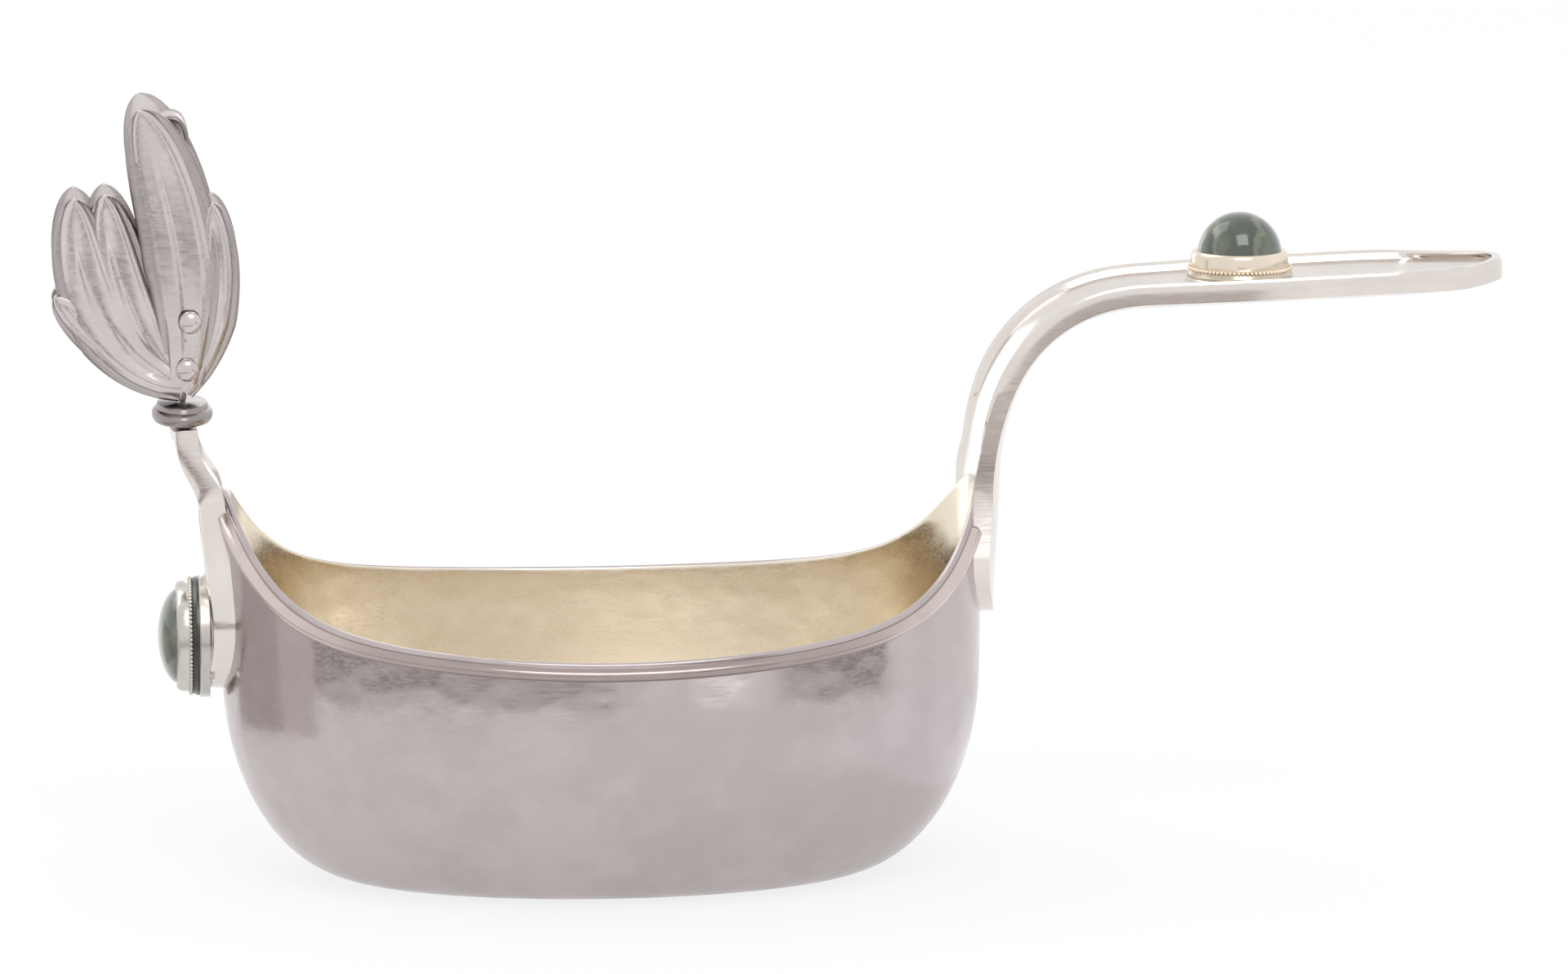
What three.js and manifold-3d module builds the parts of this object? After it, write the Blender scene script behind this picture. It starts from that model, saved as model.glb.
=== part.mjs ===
// A silver kovsh: a boat-shaped drinking bowl with a raised prow and a strap handle.
// Millimetres, +Z up, +X towards the handle. The origin is the middle of the flat underside.
import * as THREE from "three";
import { mergeVertices } from "three/addons/utils/BufferGeometryUtils.js";
import Module from "manifold-3d";

// Bowl
const BOWL_LENGTH = 93; // outside, end to end
const BOWL_WIDTH = 64.4; // outside, side to side
const BASE_LENGTH = 60; // flat underside
const BASE_WIDTH = 36;
const SIDE_HEIGHT = 31.7; // rim above the table, half way along
const END_HEIGHT = 48.4; // rim at the prow and at the handle
const SHEER_SHARE = 0.27; // part of the rim's rise that is spread over the whole length
const SHEER_TURN = 9; // power that holds the rest of the rise back to the two ends
const BILGE_HEIGHT = 25; // where the rounded bilge becomes the upright side
const WALL = 1.0;
const PLAN_POINT = 0.88; // 1 gives an oval plan, more draws its two ends out, and less blunts them

// Rim wire, one length soldered along each side
const WIRE_HEIGHT = 1.7;
const WIRE_DEPTH = 1.0;
const WIRE_BELOW_RIM = 0.5;

// Straps
const SEAM = 0.3; // solder line between two pieces
const STRAP_THICKNESS = 2.0;
const TONGUE_THICKNESS = 1.3; // where a strap's foot thins out on the bowl
const BORDER_HEIGHT = 0.6; // raised edge around a strap
const BORDER_WIDTH = 1.3;
const BORDER_SLOPE = 0.6; // width of the border's inner and outer slopes
const FREE_BLEND = 14; // length over which a strap leaves the bowl's curve

const HANDLE_WIDTH = 20;
const HANDLE_WAIST = 3; // how much narrower the handle is in its bend
const HANDLE_TONGUE = 17; // length of the foot below the end of the rim
const HANDLE_RISE = 22.6; // top face of the grip, where it starts, above the end of the rim
const HANDLE_BEND = 19.5; // how far out the bend carries the grip
const HANDLE_GRIP = 44.8; // straight part, up to its tip
const HANDLE_LIFT = 1.8; // how much the tip stands above the start of the grip
const HANDLE_DISH = 1.4; // depth of the hollow along the grip
const HANDLE_TIP = 17; // length of the rounded tip

const PROW_WIDTH = 19; // at its stone
const PROW_NECK = 12; // from the rim up to the finial
const PROW_TONGUE = 25;
const PROW_RISE = 7.8; // top of the strap above the end of the rim
const PROW_LEAN = 3.1; // how far the top stands out from the bowl's end
const PROW_DISH = 0.9;
const PROW_TIP = 9;

// Stone settings
const HANDLE_STONE_RADIUS = 5.2;
const HANDLE_STONE_GIRDLE = 1.4; // height of the upright edge inside the bezel
const HANDLE_STONE_DOME = 5.4; // height of the dome above it
const PROW_STONE_RADIUS = 6.0;
const PROW_STONE_GIRDLE = 1.0;
const PROW_STONE_DOME = 3.0;
const STONE_PLAY = 0.15;
const BEZEL_WALL = 0.6;
const BEZEL_GRASP = 0.9; // how far the bezel reaches above the girdle
const PLATE_THICKNESS = 0.9;
const PLATE_MARGIN = 0.55; // how far the plate shows round the bezel
const PAD_PROUD = 0.4; // how far a flat seat stands out of its strap
const PAD_MARGIN = 0.2;
const HANDLE_STONE_ALONG = 12.2; // from the start of the grip
const PROW_STONE_HEIGHT = 29.8; // above the table

// Finial
const COLLAR_HEIGHT = 2.3;
const COLLAR_DEPTH = 7.4; // along the kovsh
const COLLAR_WIDTH = 14.0; // across it
const LEAF_HEIGHT = 34.6;
const LEAF_THICKNESS = 2.2;
const LEAF_BOW = 1.8; // how far the leaf bows towards the bowl
const LEAF_CURL = 3.4; // how far its tip curls outwards
const LEAF_FOOT = 4.0; // width between the two palmettes, at the collar
const PALMETTE_HEIGHT = 36.6; // to the tip of its tallest petal
const PALMETTE_REACH = 16; // from its root to its outermost petal
const PALMETTE_THICKNESS = 1.0;
const PALMETTE_CROWN = 1.2; // height of a petal's rounded back
const PALMETTE_LAYER = 0.35; // step from one petal to the next that overlies it
const SPLAY = 3.4; // how far each palmette leans away from the leaf at the top
const SPLAY_START = 12; // height at which it starts to lean
const PETAL_WIDTH = 9.8; // of the widest petal
const PETAL_TIP = 6; // power that keeps a petal wide up to its tip
// Petals of one palmette. Bend and tip are shares of its reach and height, from its root.
const PETALS = [
  { bend: [-0.5, 0.15], tip: [-0.95, 0.37], width: 0.57, layer: 0 },
  { bend: [-0.72, 0.15], tip: [-0.8, 0.7], width: 0.88, layer: 1 },
  { bend: [0.34, 0.25], tip: [0.23, 0.68], width: 0.65, layer: 0 },
  { bend: [-0.44, 0.23], tip: [-0.57, 0.71], width: 0.82, layer: 0 },
  { bend: [0.16, 0.49], tip: [-0.3, 1], width: 1, layer: 2 },
];
const LOW_RIVET = 4.4; // height above the collar
const HIGH_RIVET = 10.2;
const RIVET_RADIUS = 0.6;
const RIVET_HEAD_RADIUS = 1.4;
const RIVET_HEAD_HEIGHT = 0.8;
const RIVET_PLAY = 0.15;

// Facets
const BOWL_FACETS = 56;
const TURNED_FACETS = 28;
const RIVET_FACETS = 12;

const wasm = await Module();
wasm.setup();

const silver = new THREE.MeshStandardMaterial({ color: 0xc9c4c4, roughness: 0.28, metalness: 1 });
const darkSilver = new THREE.MeshStandardMaterial({ color: 0xa49d9d, roughness: 0.38, metalness: 1 });
const giltSilver = new THREE.MeshStandardMaterial({ color: 0xd6b06a, roughness: 0.25, metalness: 1 });
const greenStone = new THREE.MeshStandardMaterial({ color: 0x3c4a38, roughness: 0.12, metalness: 0 });

const kovsh = new THREE.Group();

function addPiece(name, geometry, material) {
  const mesh = new THREE.Mesh(geometry, material);
  mesh.name = name;
  kovsh.add(mesh);
}

// Closed solids from shared points, with the faces turned outwards whichever way they were listed.
function closedGeometry(points, triangles) {
  let volume = 0;
  for (const [a, b, c] of triangles) volume += points[a].dot(points[b].clone().cross(points[c]));
  const index = triangles.flatMap(([a, b, c]) => (volume > 0 ? [a, b, c] : [a, c, b]));
  const geometry = new THREE.BufferGeometry().setFromPoints(points).setIndex(index);
  geometry.computeVertexNormals();
  return geometry;
}

// A skin over rings of equally many points, closed at both ends.
function skin(rings) {
  const around = rings[0].length;
  const points = rings.flat();
  const triangles = [];
  const next = (i) => (i + 1) % around;
  for (let r = 0; r + 1 < rings.length; r++)
    for (let i = 0; i < around; i++) {
      const a = r * around + i;
      const b = r * around + next(i);
      triangles.push([a, b, b + around], [a, b + around, a + around]);
    }
  const last = (rings.length - 1) * around;
  const middleOf = (ring) => ring.reduce((s, p) => s.add(p), new THREE.Vector3()).divideScalar(around);
  points.push(middleOf(rings[0]), middleOf(rings.at(-1)));
  for (let i = 0; i < around; i++) {
    triangles.push([points.length - 2, next(i), i]);
    triangles.push([points.length - 1, last + i, last + next(i)]);
  }
  return closedGeometry(points, triangles);
}

// The solid between two faces, each a grid of points with the same rows and columns.
function slab(front, back) {
  const rows = front.length - 1;
  const columns = front[0].length - 1;
  const size = (rows + 1) * (columns + 1);
  const at = (face, r, c) => face * size + r * (columns + 1) + c;
  const triangles = [];
  const quad = (a, b, c, d) => triangles.push([a, b, c], [a, c, d]);
  for (let r = 0; r < rows; r++)
    for (let c = 0; c < columns; c++) {
      quad(at(0, r, c), at(0, r, c + 1), at(0, r + 1, c + 1), at(0, r + 1, c));
      quad(at(1, r, c), at(1, r + 1, c), at(1, r + 1, c + 1), at(1, r, c + 1));
    }
  for (let c = 0; c < columns; c++) {
    quad(at(0, 0, c + 1), at(0, 0, c), at(1, 0, c), at(1, 0, c + 1));
    quad(at(0, rows, c), at(0, rows, c + 1), at(1, rows, c + 1), at(1, rows, c));
  }
  for (let r = 0; r < rows; r++) {
    quad(at(0, r, 0), at(0, r + 1, 0), at(1, r + 1, 0), at(1, r, 0));
    quad(at(0, r + 1, columns), at(0, r, columns), at(1, r, columns), at(1, r + 1, columns));
  }
  return closedGeometry([...front.flat(), ...back.flat()], triangles);
}

function toSolid(geometry) {
  const bare = geometry.clone();
  bare.deleteAttribute("normal");
  if (bare.hasAttribute("uv")) bare.deleteAttribute("uv");
  const merged = mergeVertices(bare, 1e-4);
  return new wasm.Manifold(
    new wasm.Mesh({
      numProp: 3,
      vertProperties: merged.attributes.position.array,
      triVerts: new Uint32Array(merged.index.array),
    }),
  );
}

function toGeometry(solid) {
  const mesh = solid.getMesh();
  const geometry = new THREE.BufferGeometry();
  geometry.setAttribute("position", new THREE.BufferAttribute(new Float32Array(mesh.vertProperties), 3));
  geometry.setIndex(new THREE.BufferAttribute(new Uint32Array(mesh.triVerts), 1));
  geometry.computeVertexNormals();
  return geometry;
}

// A turned piece: the profile's points are [radius, height], and its axis runs from origin along one of
// the three main directions.
function turned(profile, origin, axis, facets = TURNED_FACETS) {
  const lathe = new THREE.LatheGeometry(
    profile.map(([r, h]) => new THREE.Vector2(r, h)),
    facets,
  );
  const turn = new THREE.Matrix4();
  if (axis === "+Z") turn.set(1, 0, 0, 0, 0, 0, -1, 0, 0, 1, 0, 0, 0, 0, 0, 1);
  if (axis === "-X") turn.set(0, -1, 0, 0, 1, 0, 0, 0, 0, 0, 1, 0, 0, 0, 0, 1);
  if (axis === "+Y") turn.set(1, 0, 0, 0, 0, 1, 0, 0, 0, 0, 1, 0, 0, 0, 0, 1);
  return toGeometry(toSolid(lathe.applyMatrix4(turn))).translate(...origin);
}

const sweep = (from, to, steps) =>
  Array.from({ length: steps + 1 }, (_, i) => from + ((to - from) * i) / steps);

// Bowl walls. An angle of 0 points at the handle, and inset is measured in from the outer face.
function rimHeight(angle) {
  const along = Math.abs(Math.cos(angle));
  const rise = SHEER_SHARE * along ** 2 + (1 - SHEER_SHARE) * along ** SHEER_TURN;
  return SIDE_HEIGHT + (END_HEIGHT - SIDE_HEIGHT) * rise;
}

function wallPoint(angle, height, inset) {
  const share = Math.min(1, (height - inset) / (BILGE_HEIGHT - inset));
  const bulge = Math.sqrt(Math.max(0, 1 - (1 - share) ** 2));
  const halfLength = BASE_LENGTH / 2 + ((BOWL_LENGTH - BASE_LENGTH) / 2) * bulge - inset;
  const halfWidth = BASE_WIDTH / 2 + ((BOWL_WIDTH - BASE_WIDTH) / 2) * bulge - inset;
  const across = Math.sign(Math.sin(angle)) * Math.abs(Math.sin(angle)) ** PLAN_POINT;
  return new THREE.Vector3(halfLength * Math.cos(angle), halfWidth * across, height);
}

// How far the bowl's upright end has curved back, at a distance to one side of its middle.
function endCurve(across) {
  const share = Math.min(1, Math.abs(across) / (BOWL_WIDTH / 2));
  return (BOWL_LENGTH / 2) * (1 - Math.sqrt(1 - share ** (2 / PLAN_POINT)));
}

function bowl() {
  const angles = sweep(0, 2 * Math.PI, BOWL_FACETS).slice(0, -1);
  const rings = [];
  const ring = (heightAt, inset) => rings.push(angles.map((a) => wallPoint(a, heightAt(a), inset)));
  const bilge = sweep(0, Math.PI / 2, 8).map((p) => 1 - Math.cos(p));
  const side = sweep(0, 1, 3).slice(1);
  const lip = WALL / 2;
  const between = (a, share) => BILGE_HEIGHT + (rimHeight(a) - lip - BILGE_HEIGHT) * share;
  for (const share of bilge) ring(() => BILGE_HEIGHT * share, 0);
  for (const share of side) ring((a) => between(a, share), 0);
  ring((a) => rimHeight(a) - lip * 0.3, WALL * 0.15);
  ring((a) => rimHeight(a), WALL * 0.5);
  ring((a) => rimHeight(a) - lip * 0.3, WALL * 0.85);
  for (const share of side.toReversed()) ring((a) => between(a, share), WALL);
  for (const share of bilge.toReversed()) ring(() => WALL + (BILGE_HEIGHT - WALL) * share, WALL);
  return skin(rings);
}

// How much longer the rim is than its plan where it climbs. The wire keeps its height across the climb.
function climb(angle) {
  const [low, high] = [angle - 0.01, angle + 0.01].map((a) => wallPoint(a, rimHeight(a), 0));
  return high.distanceTo(low) / Math.hypot(high.x - low.x, high.y - low.y);
}

// The first place along the rim where the wire clears a strap, whose half width depends on the height
function besideStrap(halfWidthAtHeight) {
  return sweep(0, Math.PI / 2, 360).find((angle) => {
    const bottom = rimHeight(angle) - (WIRE_BELOW_RIM + WIRE_HEIGHT) * climb(angle);
    return wallPoint(angle, bottom, 0).y > halfWidthAtHeight(bottom) + SEAM;
  });
}

// Half-round wire along one side of the rim, from strap to strap
function rimWire(side) {
  const first = besideStrap((height) => handleHalfWidth(height - END_HEIGHT + HANDLE_TONGUE));
  const last = Math.PI - besideStrap((height) => prowHalfWidth(height - END_HEIGHT + PROW_TONGUE));
  const section = sweep(-Math.PI / 2, Math.PI / 2, 5);
  const rings = sweep(first, last, 44).map((angle) =>
    section.map((turn) => {
      const below = WIRE_BELOW_RIM + (WIRE_HEIGHT / 2) * (1 - Math.sin(turn));
      const height = rimHeight(angle) - below * climb(angle);
      const point = wallPoint(angle, height, -SEAM / 2 - WIRE_DEPTH * Math.cos(turn));
      return point.setY(side * point.y);
    }),
  );
  return skin(rings);
}

// A strap bent from strip. Its spine is a path of (distance out from the bowl's centre, height) along
// the face that lies on the bowl. Below the free length the strap wraps the bowl's end.
const ACROSS = [-1, -0.95, -0.88, -0.81, -0.5, -0.2, 0.2, 0.5, 0.81, 0.88, 0.95, 1];

// Height share of the raised border at a distance from the strap's edge
function borderAt(fromEdge) {
  const rise = THREE.MathUtils.smoothstep(fromEdge, -BORDER_SLOPE, BORDER_SLOPE);
  return rise * (1 - THREE.MathUtils.smoothstep(fromEdge, BORDER_WIDTH, BORDER_WIDTH + BORDER_SLOPE));
}

function strap({ side, spine, distances, halfWidthAt, onBowl, dish, borderOutside, openTop }) {
  const length = spine.getLength();
  const front = [];
  const back = [];
  for (const distance of distances) {
    const share = Math.min(1, distance / length);
    const point = spine.getPointAt(share);
    const tangent = spine.getTangentAt(share);
    const out = new THREE.Vector2(tangent.y, -tangent.x);
    const free = THREE.MathUtils.smoothstep(distance, onBowl, onBowl + FREE_BLEND);
    const footing = THREE.MathUtils.smoothstep(distance, 0, onBowl);
    const thickness = THREE.MathUtils.lerp(TONGUE_THICKNESS, STRAP_THICKNESS, footing);
    const half = halfWidthAt(distance);
    const toEnd = openTop ? distance : Math.min(distance, length - distance);
    const raised = (c) => BORDER_HEIGHT * borderAt(Math.min(half * (1 - Math.abs(c)), toEnd));
    const hollow = (c) => dish * (1 - (1 - c * c) * THREE.MathUtils.smoothstep(toEnd, 0, half + dish));
    const place = (c, outward) => {
      const fall = THREE.MathUtils.lerp(endCurve(c * half), hollow(c), free);
      const shift = outward - fall;
      return new THREE.Vector3(side * (point.x + out.x * shift), c * half, point.y + out.y * shift);
    };
    front.push(ACROSS.map((c) => place(c, borderOutside ? 0 : -raised(c) * free)));
    back.push(ACROSS.map((c) => place(c, thickness + (borderOutside ? raised(c) : 0))));
  }
  return slab(front, back);
}

// Stations along a strap: close together in its rounded ends, even in between
function stations(length, footRound, tipRound, steps) {
  const closing = [0, 0.05, 0.11, 0.2, 0.36, 0.6];
  const tip = tipRound > 0 ? closing.toReversed().map((s) => length - s * tipRound) : [];
  return [...closing.map((s) => s * footRound), ...sweep(footRound, length - tipRound, steps), ...tip];
}

const roundedEnd = (distance, round) => {
  const share = Math.min(1, (distance + 0.03 * round) / (1.03 * round));
  return Math.sqrt(1 - (1 - share) ** 2);
};

// Handle: up the bowl's end, out through a bend, and almost level to a rounded tip
const wallOut = BOWL_LENGTH / 2 + SEAM;
const gripHeight = END_HEIGHT + HANDLE_RISE;
const gripStart = wallOut + HANDLE_BEND;
const gripSlope = HANDLE_LIFT / HANDLE_GRIP;
const handleSpine = new THREE.Path();
handleSpine.moveTo(wallOut, END_HEIGHT - HANDLE_TONGUE);
handleSpine.lineTo(wallOut, END_HEIGHT - 1);
handleSpine.bezierCurveTo(
  wallOut,
  END_HEIGHT + 0.55 * HANDLE_RISE,
  wallOut + 0.34 * HANDLE_BEND,
  gripHeight - 0.66 * HANDLE_BEND * gripSlope,
  gripStart,
  gripHeight,
);
handleSpine.lineTo(gripStart + HANDLE_GRIP, gripHeight + HANDLE_LIFT);

function handleHalfWidth(distance) {
  const length = handleSpine.getLength();
  const aboveRim = Math.max(0, distance - HANDLE_TONGUE);
  const waist = Math.sin(Math.PI * Math.min(1, aboveRim / (length / 2))) ** 2;
  const full = (HANDLE_WIDTH - HANDLE_WAIST * waist) / 2;
  return full * roundedEnd(distance, HANDLE_TONGUE / 2) * roundedEnd(length - distance, HANDLE_TIP);
}

// Prow: up the other end, leaning out, and upright again under the finial
const prowTop = END_HEIGHT + PROW_RISE;
const prowOut = wallOut + PROW_LEAN;
const prowSpine = new THREE.Path();
prowSpine.moveTo(wallOut, END_HEIGHT - PROW_TONGUE);
prowSpine.lineTo(wallOut, END_HEIGHT - 3);
prowSpine.bezierCurveTo(
  wallOut,
  END_HEIGHT + 0.3 * PROW_RISE,
  prowOut,
  END_HEIGHT + 0.3 * PROW_RISE,
  prowOut,
  prowTop,
);

function prowHalfWidth(distance) {
  const taper = THREE.MathUtils.smoothstep(distance, 0.35 * PROW_TONGUE, PROW_TONGUE);
  return (THREE.MathUtils.lerp(PROW_WIDTH, PROW_NECK, taper) / 2) * roundedEnd(distance, PROW_TIP);
}

// A flat round seat for a stone setting, joined to its strap
function withPad(strapGeometry, radius, origin, axis, depth) {
  const pad = turned([[0, -depth], [radius, -depth], [radius, 0], [0, 0]], origin, axis);
  return toGeometry(toSolid(strapGeometry).add(toSolid(pad)));
}

const handlePlate = HANDLE_STONE_RADIUS + STONE_PLAY + BEZEL_WALL + PLATE_MARGIN;
const prowPlate = PROW_STONE_RADIUS + STONE_PLAY + BEZEL_WALL + PLATE_MARGIN;
const handleSeat = [
  gripStart + HANDLE_STONE_ALONG,
  0,
  gripHeight + HANDLE_STONE_ALONG * gripSlope + HANDLE_DISH / 2 + PAD_PROUD,
];
const prowSeat = [-(wallOut + STRAP_THICKNESS + PAD_PROUD), 0, PROW_STONE_HEIGHT];

function handleStrap() {
  const length = handleSpine.getLength();
  const bare = strap({
    side: 1,
    spine: handleSpine,
    distances: stations(length, HANDLE_TONGUE / 2, HANDLE_TIP, 30),
    halfWidthAt: handleHalfWidth,
    onBowl: HANDLE_TONGUE,
    dish: HANDLE_DISH,
    borderOutside: false,
    openTop: false,
  });
  const depth = PAD_PROUD + (HANDLE_DISH + STRAP_THICKNESS) / 2;
  return withPad(bare, handlePlate + PAD_MARGIN, handleSeat, "+Z", depth);
}

function prowStrap() {
  const bare = strap({
    side: -1,
    spine: prowSpine,
    distances: stations(prowSpine.getLength(), PROW_TIP, 0, 20),
    halfWidthAt: prowHalfWidth,
    onBowl: PROW_TONGUE,
    dish: PROW_DISH,
    borderOutside: true,
    openTop: true,
  });
  const depth = PAD_PROUD + STRAP_THICKNESS - SEAM;
  return withPad(bare, prowPlate + PAD_MARGIN, prowSeat, "-X", depth);
}

// One stone setting: a moulded plate, a bezel leaning in over the stone, and a domed cabochon
function setting(name, metal, radius, girdle, dome, foot, seat, axis) {
  const plate = PLATE_THICKNESS;
  const bore = radius + STONE_PLAY;
  const outer = bore + BEZEL_WALL;
  const bezelTop = plate + girdle + BEZEL_GRASP;
  const plateProfile = [
    [0, 0],
    [foot, 0],
    [foot, 0.35 * plate],
    [foot - 0.25, 0.75 * plate],
    [foot - 0.6, plate],
    [0, plate],
  ];
  const bezelProfile = [
    [bore, plate],
    [outer, plate],
    [outer + 0.1, plate + 0.4 * girdle],
    [outer - 0.1, bezelTop - 0.35],
    [outer - 0.4, bezelTop],
    [bore - 0.25, bezelTop],
    [bore, plate + girdle + 0.2],
    [bore, plate],
  ];
  const back = plate + STONE_PLAY;
  const domeProfile = sweep(0, Math.PI / 2, 8).map((turn) => [
    turn === Math.PI / 2 ? 0 : (radius - 0.35) * Math.cos(turn),
    back + girdle + dome * Math.sin(turn),
  ]);
  const stoneProfile = [
    [0, back],
    [radius - 0.3, back],
    [radius, back + 0.3],
    [radius, back + girdle - 0.3],
    ...domeProfile,
  ];
  addPiece(`${name}_setting_plate`, turned(plateProfile, seat, axis), metal);
  addPiece(`${name}_bezel`, turned(bezelProfile, seat, axis), metal);
  addPiece(`${name}_stone`, turned(stoneProfile, seat, axis), greenStone);
}

// Finial: a collar on the prow strap, a tall leaf that curls over, and a palmette on each side of it
const finialX = -(prowOut + STRAP_THICKNESS / 2);
const collarFoot = prowTop + SEAM;
const finialFoot = collarFoot + COLLAR_HEIGHT + SEAM;

function collar() {
  const half = COLLAR_WIDTH / 2;
  const profile = [
    [0, 0],
    [0.86 * half, 0],
    [0.97 * half, 0.18 * COLLAR_HEIGHT],
    [half, 0.4 * COLLAR_HEIGHT],
    [0.95 * half, 0.65 * COLLAR_HEIGHT],
    [0.8 * half, 0.8 * COLLAR_HEIGHT],
    [0.74 * half, COLLAR_HEIGHT],
    [0, COLLAR_HEIGHT],
  ];
  const ring = turned(profile, [0, 0, 0], "+Z");
  return ring.scale(COLLAR_DEPTH / COLLAR_WIDTH, 1, 1).translate(finialX, 0, collarFoot);
}

// Half the width between the palmettes at a height above the collar
function innerFace(above) {
  const lean = Math.max(0, above - SPLAY_START) / (LEAF_HEIGHT - SPLAY_START);
  return LEAF_FOOT / 2 + SEAM + SPLAY * lean ** 1.6;
}

// The middle leaf: it fills the space between the palmettes, bows inwards and curls out at its tip
const leafHeight = (share) => finialFoot + share * LEAF_HEIGHT;
const leafSpine = new THREE.Path();
leafSpine.moveTo(finialX, leafHeight(0));
leafSpine.bezierCurveTo(
  finialX + LEAF_BOW,
  leafHeight(0.35),
  finialX + LEAF_BOW,
  leafHeight(0.95),
  finialX,
  leafHeight(1),
);
leafSpine.bezierCurveTo(
  finialX - 0.6 * LEAF_CURL,
  leafHeight(1.03),
  finialX - LEAF_CURL,
  leafHeight(0.98),
  finialX - LEAF_CURL,
  leafHeight(0.92),
);

// Rivets pin the palmettes through the leaf, each on the leaf's middle line
const rivetPlaces = [LOW_RIVET, HIGH_RIVET].map((above) => {
  const height = finialFoot + above;
  const { x } = leafSpine.getSpacedPoints(400).find((point) => point.y > height);
  return [x, 0, height];
});

function withRivetHoles(solid) {
  const radius = RIVET_RADIUS + RIVET_PLAY;
  const reach = COLLAR_WIDTH;
  const profile = [[0, -reach], [radius, -reach], [radius, reach], [0, reach]];
  const bore = (place) => toSolid(turned(profile, place, "+Y", RIVET_FACETS));
  return rivetPlaces.reduce((rest, place) => rest.subtract(bore(place)), solid);
}

function leaf() {
  const columns = sweep(-1, 1, 6);
  const front = [];
  const back = [];
  for (const share of sweep(0, 1, 20)) {
    const point = leafSpine.getPointAt(share);
    const tangent = leafSpine.getTangentAt(share);
    const out = new THREE.Vector2(tangent.y, -tangent.x);
    const closing = Math.sqrt(Math.max(0.04, 1 - Math.max(0, (share - 0.7) / 0.3) ** 2));
    const half = (innerFace(point.y - finialFoot) - SEAM) * closing;
    const place = (c, depth) =>
      new THREE.Vector3(point.x + out.x * depth, c * half, point.y + out.y * depth);
    const rib = (c) => 0.5 * (1 - Math.abs(c));
    front.push(columns.map((c) => place(c, LEAF_THICKNESS * (0.5 - 0.3 * c * c + 0.3 * rib(c)))));
    back.push(columns.map((c) => place(c, -LEAF_THICKNESS * (0.5 - 0.3 * c * c))));
  }
  return toGeometry(withRivetHoles(toSolid(slab(front, back))));
}

// One petal of a palmette, domed across, with its back on the palmette's inner face
function petal({ bend, tip, width, layer }, side) {
  const half = (width * PETAL_WIDTH) / 2;
  const root = new THREE.Vector2(finialX, finialFoot + 0.6 * half);
  const at = ([x, z]) => new THREE.Vector2(finialX + x * PALMETTE_REACH, finialFoot + z * PALMETTE_HEIGHT);
  const spine = new THREE.QuadraticBezierCurve(root, at(bend), at(tip));
  const columns = sweep(-1, 1, 4);
  const front = [];
  const back = [];
  for (const share of sweep(0, Math.PI / 2, 9).map(Math.sin)) {
    const point = spine.getPointAt(share);
    const tangent = spine.getTangentAt(share);
    const spread = half * Math.min(1, 0.5 + 1.1 * share) * Math.sqrt(Math.max(0.01, 1 - share ** PETAL_TIP));
    const place = (c, depth) => {
      const above = point.y + tangent.x * c * spread - finialFoot;
      const stand = innerFace(above) + layer * PALMETTE_LAYER + depth;
      return new THREE.Vector3(point.x - tangent.y * c * spread, side * stand, finialFoot + above);
    };
    front.push(columns.map((c) => place(c, PALMETTE_THICKNESS + PALMETTE_CROWN * (1 - c * c))));
    back.push(columns.map((c) => place(c, 0)));
  }
  return toSolid(slab(front, back));
}

function palmette(side) {
  const joined = PETALS.map((p) => petal(p, side)).reduce((sum, p) => sum.add(p));
  return toGeometry(withRivetHoles(joined));
}

function rivet(place) {
  const topLayer = Math.max(...PETALS.map((p) => p.layer));
  const seat = innerFace(0) + PALMETTE_THICKNESS + PALMETTE_CROWN + topLayer * PALMETTE_LAYER + SEAM;
  const head = [
    [0, seat + RIVET_HEAD_HEIGHT],
    [0.6 * RIVET_HEAD_RADIUS, seat + 0.8 * RIVET_HEAD_HEIGHT],
    [RIVET_HEAD_RADIUS, seat + 0.25 * RIVET_HEAD_HEIGHT],
    [RIVET_HEAD_RADIUS, seat],
    [RIVET_RADIUS, seat],
  ];
  const tail = head.map(([r, h]) => [r, -h]);
  return turned([...tail, ...head.toReversed()], place, "+Y", RIVET_FACETS);
}

addPiece("bowl", bowl(), silver);
addPiece("rim_wire_near", rimWire(-1), silver);
addPiece("rim_wire_far", rimWire(1), silver);
addPiece("handle_strap", handleStrap(), silver);
addPiece("prow_strap", prowStrap(), silver);
setting(
  "handle",
  giltSilver,
  HANDLE_STONE_RADIUS,
  HANDLE_STONE_GIRDLE,
  HANDLE_STONE_DOME,
  handlePlate,
  handleSeat,
  "+Z",
);
setting("prow", silver, PROW_STONE_RADIUS, PROW_STONE_GIRDLE, PROW_STONE_DOME, prowPlate, prowSeat, "-X");
addPiece("finial_collar", collar(), darkSilver);
addPiece("finial_leaf", leaf(), darkSilver);
addPiece("palmette_near", palmette(-1), darkSilver);
addPiece("palmette_far", palmette(1), darkSilver);
rivetPlaces.forEach((place, i) => addPiece(`finial_rivet_${i + 1}`, rivet(place), darkSilver));

export default kovsh;
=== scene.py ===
# %% [markdown]
# # A silver kovsh, gilt inside
# A kovsh is a boat-shaped drinking bowl. A smith raises it from one sheet of silver, solders a strap handle
# on one end and a raised prow on the other, and sets both with polished stones.
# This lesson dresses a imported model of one. Each of the model's nodes is replaced by a finer piece, which
# has the node's place and size and a finish of its own.

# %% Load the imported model
import math
from contextlib import contextmanager

import bmesh
import bpy
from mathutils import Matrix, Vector
from mathutils.geometry import interpolate_bezier


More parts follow.
